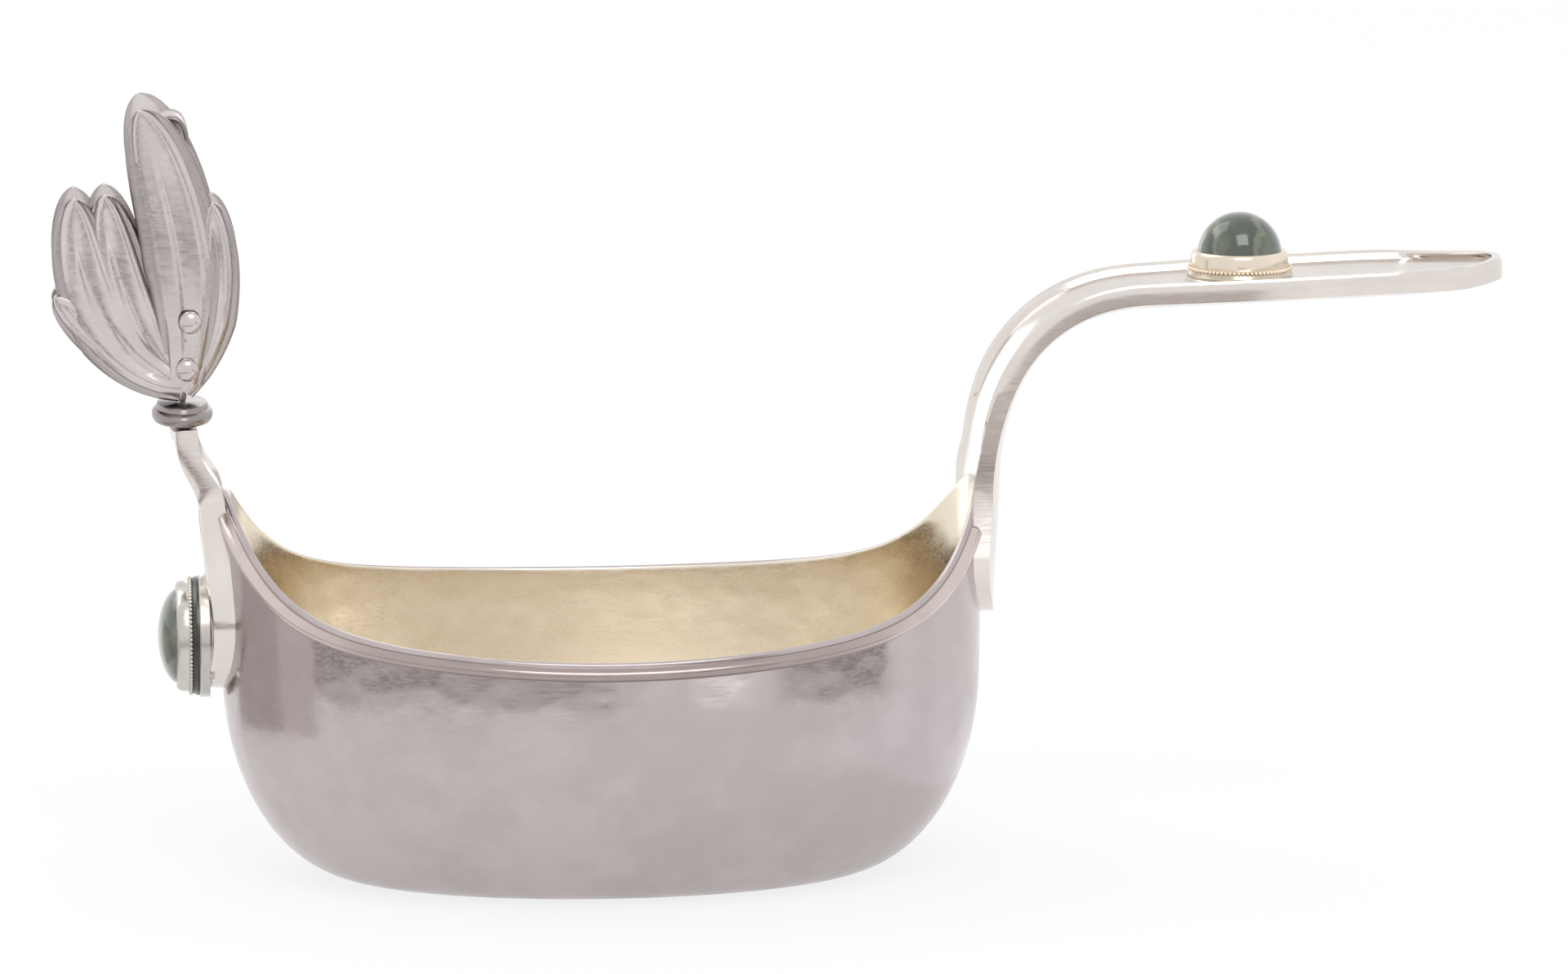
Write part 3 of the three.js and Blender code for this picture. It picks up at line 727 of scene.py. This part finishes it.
foot, rim_end, top = in_plane(
    (-wall_out, END_HEIGHT - PROW_TONGUE), (-wall_out, END_HEIGHT - PROW_LEAVES), (-prow_out, prow_top)
)
up, over = in_plane((-wall_out, END_HEIGHT + 0.3 * PROW_RISE), (-prow_out, END_HEIGHT + 0.3 * PROW_RISE))
third = (rim_end - foot) / 3
prow_spine = [
    (foot, foot - third, foot + third),
    (rim_end, rim_end - third, up),
    (top, over, 2 * top - over),
]
prow_length = spine_length(prow_spine)


def prow_half_width(distance):
    return mix(PROW_HALF, NECK_HALF, smoothstep(distance, 0.35 * PROW_TONGUE, PROW_TONGUE))


prow = blank("prow", prow_length, prow_half_width, PROW_TIP, 0, 26)
form(prow, prow_length, prow_half_width, PROW_TONGUE, PROW_DISH, outside_border=True, open_top=True)
bend(prow, prow_spine, quarter_turns=-1)
finish_strap(prow)

# %% [markdown]
# ## Stone settings
# A cabochon sits in a bezel, a thin ring whose top edge is rubbed over the stone, and the bezel stands on a
# plate. Plate, bezel and rivets are turned forms: a profile is drawn point by point with extrude and spun
# about its axis. All are made upright, and then turned to face outwards where they belong.


# %% Turned pieces
def turned(name, profile, turns=72):
    """Spins a profile of (radius, height) about the upright axis through the origin."""
    piece = add(name, bpy.ops.mesh.primitive_plane_add, size=1 * MM)
    with editing(piece):
        bpy.ops.mesh.merge(type="CENTER")
        pick_all()
        bpy.ops.transform.translate(value=(profile[0][0], 0, profile[0][1]))
        for old, new in zip(profile, profile[1:]):
            move = (new[0] - old[0], 0, new[1] - old[1])
            bpy.ops.mesh.extrude_vertices_move(TRANSFORM_OT_translate={"value": move})
        pick_all()
        bpy.ops.mesh.spin(steps=turns, angle=2 * math.pi, center=(0, 0, 0), axis=(0, 0, 1))
    turn_outwards(piece)
    return piece


FACING = {"+Z": (0, 0, 0), "-X": (0, -math.pi / 2, 0), "-Y": (math.pi / 2, 0, 0)}


def seat(piece, place, outwards):
    """Turns an upright piece to face outwards and stands it on its place."""
    piece.rotation_euler = FACING[outwards]
    piece.location = place
    settle(piece)


def packed_size(node_name, outwards):
    """Radius and depth of a packed turned node, and the middle of its back."""
    low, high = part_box(node_name)
    across, deep = (0, 2) if outwards == "+Z" else (2, 0)
    back = (low + high) / 2
    back[deep] = low.z if outwards == "+Z" else high.x
    return (high - low)[across] / 2, (high - low)[deep], back


def join(first, *rest):
    """Makes one piece of several."""
    only(first)
    for piece in rest:
        piece.select_set(True)
    bpy.ops.object.join()
    return first


# %% [markdown]
# The plate has a stepped edge and a ring of small beads round the bezel's foot, which hides the solder. The
# bezel leans in over the stone at its top. The beads are one ball, copied to each place round the ring.
# The handle's setting is gilt. The prow's is silver that has aged, on a plate that has gone black.

# %% One setting
PLATE = 0.9 * MM
STONE_PLAY = 0.15 * MM
BEZEL_WALL = 0.6 * MM
BEZEL_GRASP = 0.9 * MM  # how far the bezel reaches above the stone's girdle
BEAD = 0.26 * MM  # radius


def copied(piece, name):
    """A copy that has its own mesh."""
    copy = piece.copy()
    copy.data = piece.data.copy()
    copy.name = copy.data.name = name
    bpy.context.collection.objects.link(copy)
    return copy


def bead_ring(name, radius, height):
    """A ring of beads that almost touch, all in one piece."""
    count = int(2 * math.pi * radius / (2.05 * BEAD))
    turns = [2 * math.pi * index / count for index in range(count)]
    places = [Vector((radius * math.cos(turn), radius * math.sin(turn), height)) for turn in turns]
    ball = bpy.ops.mesh.primitive_ico_sphere_add
    beads = [add(name, ball, subdivisions=2, radius=BEAD, location=places[0])]
    for place in places[1:]:
        bead = copied(beads[0], name)
        bead.location = place - places[0]
        beads.append(bead)
    ring = join(*beads)
    settle(ring)
    return ring


def cabochon(name, radius, girdle, dome):
    """A ball cut in half, drawn up to the dome's height and given an upright girdle."""
    piece = add(name, bpy.ops.mesh.primitive_uv_sphere_add, segments=72, ring_count=48, radius=radius)
    with editing(piece):
        bpy.ops.mesh.bisect(plane_co=(0, 0, 0), plane_no=(0, 0, 1), clear_inner=True, use_fill=True)
        pick_all()
        bpy.ops.transform.resize(value=(1, 1, dome / radius), center_override=(0, 0, 0))
        bpy.ops.transform.translate(value=(0, 0, girdle))
        pick(piece, lambda middle: middle.z < girdle + 0.001 * MM, "FACE")
        extrude((0, 0, -girdle))
    turn_outwards(piece)
    round_edges(piece, EDGE_BEVEL, 60)
    return piece


def setting(end, girdle, outwards, stone_finish, ring_finish, plate_finish):
    """Plate, bezel and stone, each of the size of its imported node."""
    foot, _, place = packed_size(f"{end}_setting_plate", outwards)
    radius, depth, _ = packed_size(f"{end}_stone", outwards)
    bore = radius + STONE_PLAY
    outer = bore + BEZEL_WALL
    top = PLATE + girdle + BEZEL_GRASP
    plate = turned(f"{end}_plate", [
        (0, 0),
        (foot, 0),
        (foot, 0.35 * PLATE),
        (foot - 0.12 * MM, 0.5 * PLATE),
        (foot - 0.2 * MM, 0.8 * PLATE),
        (foot - 0.35 * MM, PLATE),
        (0, PLATE),
    ])
    bezel = turned(f"{end}_bezel_ring", [
        (bore, PLATE),
        (outer, PLATE),
        (outer + 0.08 * MM, PLATE + 0.4 * girdle),
        (outer - 0.02 * MM, top - 0.6 * MM),
        (outer - 0.15 * MM, top - 0.25 * MM),
        (outer - 0.35 * MM, top - 0.04 * MM),
        (outer - 0.5 * MM, top),
        (bore - 0.22 * MM, top - 0.08 * MM),
        (bore - 0.12 * MM, top - 0.35 * MM),
        (bore, PLATE),
    ])
    bezel = join(bezel, bead_ring(f"{end}_beads", outer + BEAD, PLATE + 0.6 * BEAD))
    gem = cabochon(f"{end}_cabochon", radius, girdle, depth - girdle)
    seat(gem, (0, 0, PLATE + STONE_PLAY), "+Z")
    for piece in (plate, bezel, gem):
        seat(piece, place, outwards)
    finish(plate, plate_finish)
    finish(bezel, ring_finish)
    finish(gem, stone_finish, angle=50)
    return plate, bezel, gem


handle_setting = setting("handle", 1.4 * MM, "+Z", handle_stone_finish, setting_gilding, plate_gilding)
prow_setting = setting("prow", 1.0 * MM, "-X", prow_stone_finish, aged_silver, black_silver)

# %% [markdown]
# Each setting needs a flat seat on its hollowed or curved strap. A short round pad, bevelled at its edge,
# fills the space between them, and becomes part of the strap.

# %% Pads under the settings
PAD_MARGIN = 0.2 * MM


def pad(strap, end, outwards, depth, pad_finish):
    """Joins a pad of a given depth to the strap, under one setting."""
    plate_radius, _, place = packed_size(f"{end}_setting_plate", outwards)
    radius = plate_radius + PAD_MARGIN
    piece = turned("pad", [
        (0, -depth),
        (radius, -depth),
        (radius, -0.15 * MM),
        (radius - 0.15 * MM, -0.01 * MM),
        (0, -0.01 * MM),
    ])
    seat(piece, place, outwards)
    finish(piece, pad_finish)
    return join(strap, piece)


handle = pad(handle, "handle", "+Z", depth=2.1 * MM, pad_finish=strap_silver)
prow = pad(prow, "prow", "-X", depth=1.25 * MM, pad_finish=aged_silver)

# %% [markdown]
# ## The finial
# The finial is cast: a collar, a tall leaf that curls over at its tip, and on each side of it a palmette of
# five overlapping petals. The collar is turned and then squeezed to an oval.

# %% Collar
collar_low, collar_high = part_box("finial_collar")
collar_half = (collar_high.y - collar_low.y) / 2
collar_height = collar_high.z - collar_low.z
collar_profile = [(0, 0), (0.84, 0), (0.93, 0.06), (0.98, 0.2), (1.0, 0.38), (0.985, 0.55), (0.93, 0.67),
                  (0.86, 0.72), (0.85, 0.8), (0.83, 0.95), (0.8, 1.0), (0, 1.0)]
collar = turned("collar", [(r * collar_half, height * collar_height) for r, height in collar_profile])
squeeze = (collar_high.x - collar_low.x) / (2 * collar_half)
shape(collar, lambda v: Vector((v.x * squeeze, v.y, v.z)))
seat(collar, ((collar_low.x + collar_high.x) / 2, 0, collar_low.z), "+Z")
report(collar)

# %% [markdown]
# ### Petals
# A petal is a long blade with a rounded back, a sunk vein down its middle and a rolled edge. A grid is laid
# along a curved spine, and one rule gives each place its height. The same rule writes the relief attribute,
# which darkens the hollows. Petals higher in the palmette overlie those below.

# %% Petal rules
LEAF_HEIGHT = 34.6 * MM
LEAF_FOOT = 4.0 * MM
LEAF_THICKNESS = 2.2 * MM
LEAF_BOW = 1.8 * MM
LEAF_CURL = 3.4 * MM
PETAL_THICKNESS = 1.0 * MM
PETAL_CROWN = 1.2 * MM
PETAL_LAYER = 0.35 * MM
SPLAY = 3.4 * MM
SPLAY_START = 12 * MM
PALMETTE_HEIGHT = 36.6 * MM
PALMETTE_REACH = 16 * MM
PETAL_WIDTH = 9.8 * MM  # of the widest petal
PETAL_TIP = 6  # power that keeps a petal wide up to its tip
# Bend and tip are shares of the palmette's reach and height, from its root.
PETALS = [
    {"bend": (-0.5, 0.15), "tip": (-0.95, 0.37), "width": 0.57, "layer": 0},
    {"bend": (-0.72, 0.15), "tip": (-0.8, 0.7), "width": 0.88, "layer": 1},
    {"bend": (0.34, 0.25), "tip": (0.23, 0.68), "width": 0.65, "layer": 0},
    {"bend": (-0.44, 0.23), "tip": (-0.57, 0.71), "width": 0.82, "layer": 0},
    {"bend": (0.16, 0.49), "tip": (-0.3, 1), "width": 1, "layer": 2},
]
finial_x = -(prow_out + STRAP_THICKNESS / 2)
finial_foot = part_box("finial_leaf")[0].z


def inner_face(above):
    """Half the width between the palmettes, at a height above the collar."""
    lean = max(0, above - SPLAY_START) / (LEAF_HEIGHT - SPLAY_START)
    return LEAF_FOOT / 2 + SEAM + SPLAY * lean**1.6


def petal_relief(c, share):
    """Height of a petal's face from 0 to 1, where c goes from -1 to 1 across it and share from 0 to 1
    along it: a round back, a sunk vein and a rolled edge."""
    back = math.sqrt(max(0, 1 - c * c))
    runs_out = smoothstep(share, 0.0, 0.2) * (1 - smoothstep(share, 0.75, 0.98))
    vein = 0.34 * math.exp(-((c / 0.16) ** 2)) * runs_out
    gutter = 0.28 * math.exp(-(((abs(c) - 0.72) / 0.1) ** 2))
    return max(0, back - vein - gutter)


def write_relief(piece, values):
    """Stores the relief, one value for each vertex, where the cast silver's finish reads it."""
    attribute = piece.data.attributes.new("relief", "FLOAT", "POINT")
    attribute.data.foreach_set("value", values)


# %% One petal
PETAL_ROWS = 44
PETAL_COLUMNS = 24


def petal(name, bend, tip, width, layer):
    """A petal of the near palmette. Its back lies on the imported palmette's inner face."""
    half = width * PETAL_WIDTH / 2
    root = Vector((finial_x, finial_foot + 0.6 * half))
    middle, end = (
        Vector((finial_x + x * PALMETTE_REACH, finial_foot + z * PALMETTE_HEIGHT)) for x, z in (bend, tip)
    )
    piece = add_grid(name, PETAL_ROWS, PETAL_COLUMNS)
    relief = []

    def place(v):
        share = math.sin((v.x + 1) / 2 * math.pi / 2)
        point = (1 - share) ** 2 * root + 2 * share * (1 - share) * middle + share**2 * end
        tangent = (2 * (1 - share) * (middle - root) + 2 * share * (end - middle)).normalized()
        c = math.sin(v.y * math.pi / 2)
        spread = half * min(1, 0.5 + 1.1 * share) * math.sqrt(max(0.002, 1 - share**PETAL_TIP))
        x = point.x - tangent.y * c * spread
        z = point.y + tangent.x * c * spread
        height = petal_relief(c, share)
        relief.append(height)
        stand = inner_face(z - finial_foot) + layer * PETAL_LAYER + PETAL_THICKNESS * 0.7
        return Vector((x, -(stand + (PETAL_CROWN + 0.3 * PETAL_THICKNESS) * height), z))

    shape(piece, place)
    write_relief(piece, relief)
    with editing(piece):
        extrude()
    stored = piece.data.attributes["relief"].data
    for v in piece.data.vertices[len(relief):]:
        v.co.y = -inner_face(v.co.z - finial_foot) - layer * PETAL_LAYER
        stored[v.index].value = 0.2 + 0.5 * stored[v.index].value
    turn_outwards(piece)
    return piece


# %% [markdown]
# The petals of the near palmette are joined. The far one is its mirror image, so it is a copy with its
# places mirrored and its faces turned outwards again.

# %% Two palmettes
near_palmette = join(*[petal(f"petal_{number}", **values) for number, values in enumerate(PETALS)])
near_palmette.name = near_palmette.data.name = "near_palmette"
finish(near_palmette, cast_silver, angle=50)
far_palmette = copied(near_palmette, "far_palmette")
shape(far_palmette, lambda v: Vector((v.x, -v.y, v.z)))
turn_outwards(far_palmette)
report(far_palmette)

# %% [markdown]
# ### The middle leaf
# Between the palmettes stands a leaf that bows towards the bowl and curls outwards at its tip. It is a flat
# blade with a rib and slanting veins, and the same Curve modifier that bent the straps bends it.

# %% Middle leaf
LEAF_ROWS = 60
LEAF_COLUMNS = 16


def leaf_height(share):
    return finial_foot + share * LEAF_HEIGHT


root, crest, curl_tip = in_plane(
    (finial_x, leaf_height(0)), (finial_x, leaf_height(1)), (finial_x - LEAF_CURL, leaf_height(0.92))
)
bow_low, bow_high, over, down = in_plane(
    (finial_x + LEAF_BOW, leaf_height(0.35)),
    (finial_x + LEAF_BOW, leaf_height(0.95)),
    (finial_x - 0.6 * LEAF_CURL, leaf_height(1.03)),
    (finial_x - LEAF_CURL, leaf_height(0.98)),
)
leaf_spine = [
    (root, 2 * root - bow_low, bow_low),
    (crest, bow_high, over),
    (curl_tip, down, 2 * curl_tip - down),
]
leaf_length = spine_length(leaf_spine)

leaf = add_grid("middle_leaf", LEAF_ROWS, LEAF_COLUMNS)
leaf_relief = []


def leaf_place(v):
    share = (v.x + 1) / 2
    half = inner_face(min(1, share * 1.05) * LEAF_HEIGHT) - SEAM
    half *= math.sqrt(max(0.03, 1 - max(0, (share - 0.7) / 0.3) ** 2))
    c = v.y
    rib = 0.5 * math.exp(-((c / 0.14) ** 2))
    veins = 0.16 * abs(math.sin(math.pi * (share * 11 - abs(c) * 1.6))) ** 0.6
    height = 0.75 * (1 - c * c) ** 0.5 * (0.75 + rib * 0.5) - (0.16 - veins) * (1 - abs(c))
    leaf_relief.append(min(1, max(0, height + 0.15)))
    return Vector((share * leaf_length, c * half, LEAF_THICKNESS / 2 * max(0.12, height)))


shape(leaf, leaf_place)
write_relief(leaf, leaf_relief)
modify(leaf, "SOLIDIFY", thickness=0.7 * MM, offset=-1)
bend(leaf, leaf_spine, quarter_turns=0)
turn_outwards(leaf)
finish(leaf, cast_silver, 1, 50)

# %% [markdown]
# ### Rivets
# Two rivets pin the palmettes through the leaf. Their heads are low domes, with the shank between them.

# %% Rivets
RIVET_RADIUS = 0.6 * MM
RIVET_HEAD = 0.8 * MM  # height
# The collar's low relief value is painted shade, where the leaf and palmettes shade it.
COLLAR_SHADE_RELIEF = 0.28  # all of the collar is nearly as dark as a hollow


def rivet(name, node_name):
    """A rivet along Y with a head at each end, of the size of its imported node."""
    low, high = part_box(node_name)
    radius = (high.z - low.z) / 2
    reach = (high.y - low.y) / 2
    under = reach - RIVET_HEAD
    turns = steps(0, math.pi / 2, 8)[:-1]
    arc = [(radius * math.cos(turn), under + RIVET_HEAD * math.sin(turn)) for turn in turns]
    upper = [(RIVET_RADIUS, under), *arc, (0, reach)]
    lower = [(across, -height) for across, height in reversed(upper)]
    piece = turned(name, lower + upper, 32)
    seat(piece, (low + high) / 2, "-Y")
    write_relief(piece, [1.0] * len(piece.data.vertices))
    finish(piece, cast_silver, angle=50)
    return piece


rivets = [rivet(f"rivet_{number}", f"finial_rivet_{number}") for number in (1, 2)]
# All of the collar gets the same low relief, which paints it dark as painted shade under the leaf and
# palmettes.
write_relief(collar, [COLLAR_SHADE_RELIEF] * len(collar.data.vertices))
finish(collar, cast_silver)

# %% [markdown]
# ## Each piece takes its node's place
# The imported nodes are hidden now, and each fine piece stands for one of them. Nothing moves on a kovsh, so
# all of them ride on the one body.

# %% Pieces and nodes
# Each node leads to its fine piece and its material slot in the record.
standing_for = {
    "bowl": (bowl, "bowl_silver"),
    "rim_wire_near": (wires[0], "strap_silver"),
    "rim_wire_far": (wires[1], "strap_silver"),
    "handle_strap": (handle, "strap_silver"),
    "prow_strap": (prow, "strap_silver"),
    "handle_setting_plate": (handle_setting[0], "gilt_silver"),
    "handle_bezel": (handle_setting[1], "gilt_silver"),
    "handle_stone": (handle_setting[2], "green_stone"),
    "prow_setting_plate": (prow_setting[0], "strap_silver"),
    "prow_bezel": (prow_setting[1], "strap_silver"),
    "prow_stone": (prow_setting[2], "green_stone"),
    "finial_collar": (collar, "dark_silver"),
    "finial_leaf": (leaf, "dark_silver"),
    "palmette_near": (near_palmette, "dark_silver"),
    "palmette_far": (far_palmette, "dark_silver"),
    "finial_rivet_1": (rivets[0], "dark_silver"),
    "finial_rivet_2": (rivets[1], "dark_silver"),
}
for node_name, (piece, slot) in standing_for.items():
    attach(piece, "root")
    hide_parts(node_name)
print(len(standing_for), "pieces")

# %% [markdown]
# ## The studio
# Silver shows what stands round it, so it is photographed in a white tent with grey and white cards. The
# floor is pale and matt, the world is white, and two large soft lamps give the light a side. The cards are
# hidden from the camera and only show in reflections. Without them polished metal has no form.

# %% Floor and world
TENT_LIGHT = 0.87  # strength with which the white world lights
FLOOR_SHOWN = 0.8  # share of plain white in the floor that the camera sees
FLOOR_MIRRORED = 0.6  # and in the floor that metal mirrors
FLOOR_RADIUS = 6  # metres
FLOOR_DROP = 0.02 * MM  # keeps the floor clear of the flat underside
world = bpy.data.worlds.new("tent")
bpy.context.scene.world = world
world.use_nodes = True
sky = world.node_tree


def shown_white(tree, straight, mirrored):
    """The white added where the background is seen straight, or in metal or glass. It lights nothing."""
    path = node(tree, "LightPath").outputs
    bounced = calculate(tree, "MAXIMUM", path["Is Glossy Ray"], path["Is Transmission Ray"])
    bounced = calculate(tree, "MULTIPLY", bounced, mirrored)
    return calculate(tree, "MAXIMUM", bounced, calculate(tree, "MULTIPLY", path["Is Camera Ray"], straight))


sky_strength = ranged(sky, shown_white(sky, 1.0, 1.0), 0, 1, TENT_LIGHT, 1.0)
sky.links.new(sky_strength, sky.nodes["Background"].inputs["Strength"])
sky.nodes["Background"].inputs["Color"].default_value = (1, 1, 1, 1)

floor = add("floor", bpy.ops.mesh.primitive_circle_add, vertices=96, radius=FLOOR_RADIUS,
            fill_type="NGON", location=(0, 0, -FLOOR_DROP))
floor_paint, floor_tree = new_material("floor_paint")
lit = floor_tree.nodes["Principled BSDF"]
lit.inputs["Base Color"].default_value = (0.975, 0.975, 0.975, 1)
lit.inputs["Roughness"].default_value = 1.0
lit.inputs["Specular IOR Level"].default_value = 0.0
glow = node(floor_tree, "Emission", {"Color": (1, 1, 1, 1), "Strength": 1.0})
share = shown_white(floor_tree, FLOOR_SHOWN, FLOOR_MIRRORED)
both = node(floor_tree, "MixShader", {0: share, 1: lit.outputs["BSDF"], 2: glow.outputs["Emission"]})
floor_tree.links.new(both.outputs["Shader"], floor_tree.nodes["Material Output"].inputs["Surface"])
floor.data.materials.append(floor_paint)

# %% Lamps
AIM = Vector((22.5 * MM, 0, 47.1 * MM))  # the place in the middle of the picture


def towards(azimuth, elevation):
    """The direction from the object to something at an azimuth and elevation, 0 in front of it."""
    a, e = math.radians(azimuth), math.radians(elevation)
    return Vector((math.sin(a) * math.cos(e), -math.cos(a) * math.cos(e), math.sin(e)))


def aim(thing, azimuth, elevation, distance):
    """Stands a lamp or the camera off in a direction and turns it to the object."""
    direction = towards(azimuth, elevation)
    thing.location = AIM + direction * distance
    thing.rotation_euler = (-direction).to_track_quat("-Z", "Y").to_euler()


def soft_lamp(name, azimuth, elevation, distance, width, power):
    """A square lamp turned to the object, with its distance and width in metres and its power in watts."""
    deselect()
    bpy.ops.object.light_add(type="AREA")
    lamp = bpy.context.active_object
    aim(lamp, azimuth, elevation, distance)
    lamp.name = name
    lamp.data.shape = "SQUARE"
    lamp.data.size = width
    lamp.data.energy = power


soft_lamp("key", azimuth=5, elevation=48, distance=1.8, width=0.9, power=6.4)
soft_lamp("fill", azimuth=-120, elevation=50, distance=2.0, width=1.2, power=4.8)

# %% [markdown]
# Cards are cheap and small, so each stands where its reflection is wanted. The metal shows a card at twice
# the angle its surface is turned. Low cards darken the bowl's side and leave the prow above it bright.
# Two set higher tone the rising handle down, and one behind tones the gilding. Pale ones near the prow shade
# the bowl's left end, a bright one lies on the floor to its right, and two white strips put a bright column
# down the bowl and its gilding.

# %% Cards
CARD_DISTANCE = 170 * MM
END_CARD_DISTANCE = 98 * MM
LOW_CARD_HEIGHT = 20 * MM
GREY = (0.40, 0.36, 0.365, 1)
PALE = (0.60, 0.565, 0.545, 1)
FAINT = (0.76, 0.73, 0.72, 1)
BRIGHT = (1.08, 1.08, 1.10, 1)
WHITE = (1.7, 1.7, 1.7, 1)


def card_paint(name, colour):
    material, tree = new_material(name)
    tree.nodes.remove(tree.nodes["Principled BSDF"])
    glow = node(tree, "Emission", {"Color": colour, "Strength": 1.0})
    tree.links.new(glow.outputs["Emission"], tree.nodes["Material Output"].inputs["Surface"])
    return material


def upright_card(name, azimuth, width, height, paint, foot=0, away=CARD_DISTANCE):
    """An upright card, turned to the object, that only shows in reflections."""
    card = add(name, bpy.ops.mesh.primitive_plane_add, size=1)
    card.scale = (width, height, 1)
    card.rotation_euler = (math.pi / 2, 0, math.radians(azimuth))
    card.location = towards(azimuth, 0) * away + Vector((0, 0, foot + height / 2))
    settle(card)
    card.visible_camera = card.visible_diffuse = card.visible_shadow = False
    card.data.materials.append(paint)
    return card


paints = (("grey", GREY), ("pale", PALE), ("faint", FAINT), ("bright", BRIGHT), ("white", WHITE))
grey, pale, faint, bright, white = (card_paint(*paint) for paint in paints)
for azimuth in (-70, -41, -12):
    upright_card(f"low_card_{azimuth}", azimuth, 88 * MM, LOW_CARD_HEIGHT, grey)
for azimuth, paint in ((-76, faint), (-90, pale), (-106, pale)):
    upright_card(f"end_card_{azimuth}", azimuth, 28 * MM, 34 * MM, paint, away=END_CARD_DISTANCE)
upright_card("right_card", 52, 90 * MM, LOW_CARD_HEIGHT, grey)
upright_card("rise_card", 24, 60 * MM, 20 * MM, grey, foot=20 * MM)
upright_card("handle_card", 24, 60 * MM, 26 * MM, pale, foot=40 * MM)
upright_card("front_strip", 24, 30 * MM, LOW_CARD_HEIGHT, white)
upright_card("back_card", 170, 95 * MM, 52 * MM, pale, foot=4 * MM)
floor_card = upright_card("floor_card", 90, 110 * MM, 112 * MM, bright)
only(floor_card)  # and then it is laid flat
bpy.ops.transform.rotate(value=math.pi / 2, orient_axis="Y", center_override=(CARD_DISTANCE, 0, 0))
upright_card("back_strip", 189, 55 * MM, 130 * MM, white)

# %% [markdown]
# ## The camera
# The photograph looks at the kovsh's side, a little from above and slightly from its prow. A long lens suits
# it, and the camera stands as far off as the lens needs for the picture to span 192 mm at the kovsh.

# %% Camera
AZIMUTH, ELEVATION = -5, 10
LENS = 200  # millimetres, as Blender counts them
PICTURE_WIDTH = 192 * MM
camera_data = bpy.data.cameras.new("camera")
camera = bpy.data.objects.new("camera", camera_data)
bpy.context.collection.objects.link(camera)
camera_data.lens = LENS
away = PICTURE_WIDTH * LENS / camera_data.sensor_width
aim(camera, AZIMUTH, ELEVATION, away)
bpy.context.scene.camera = camera
bpy.context.scene.view_settings.view_transform = "Standard"
print("the camera stands", round(away, 3), "m off")
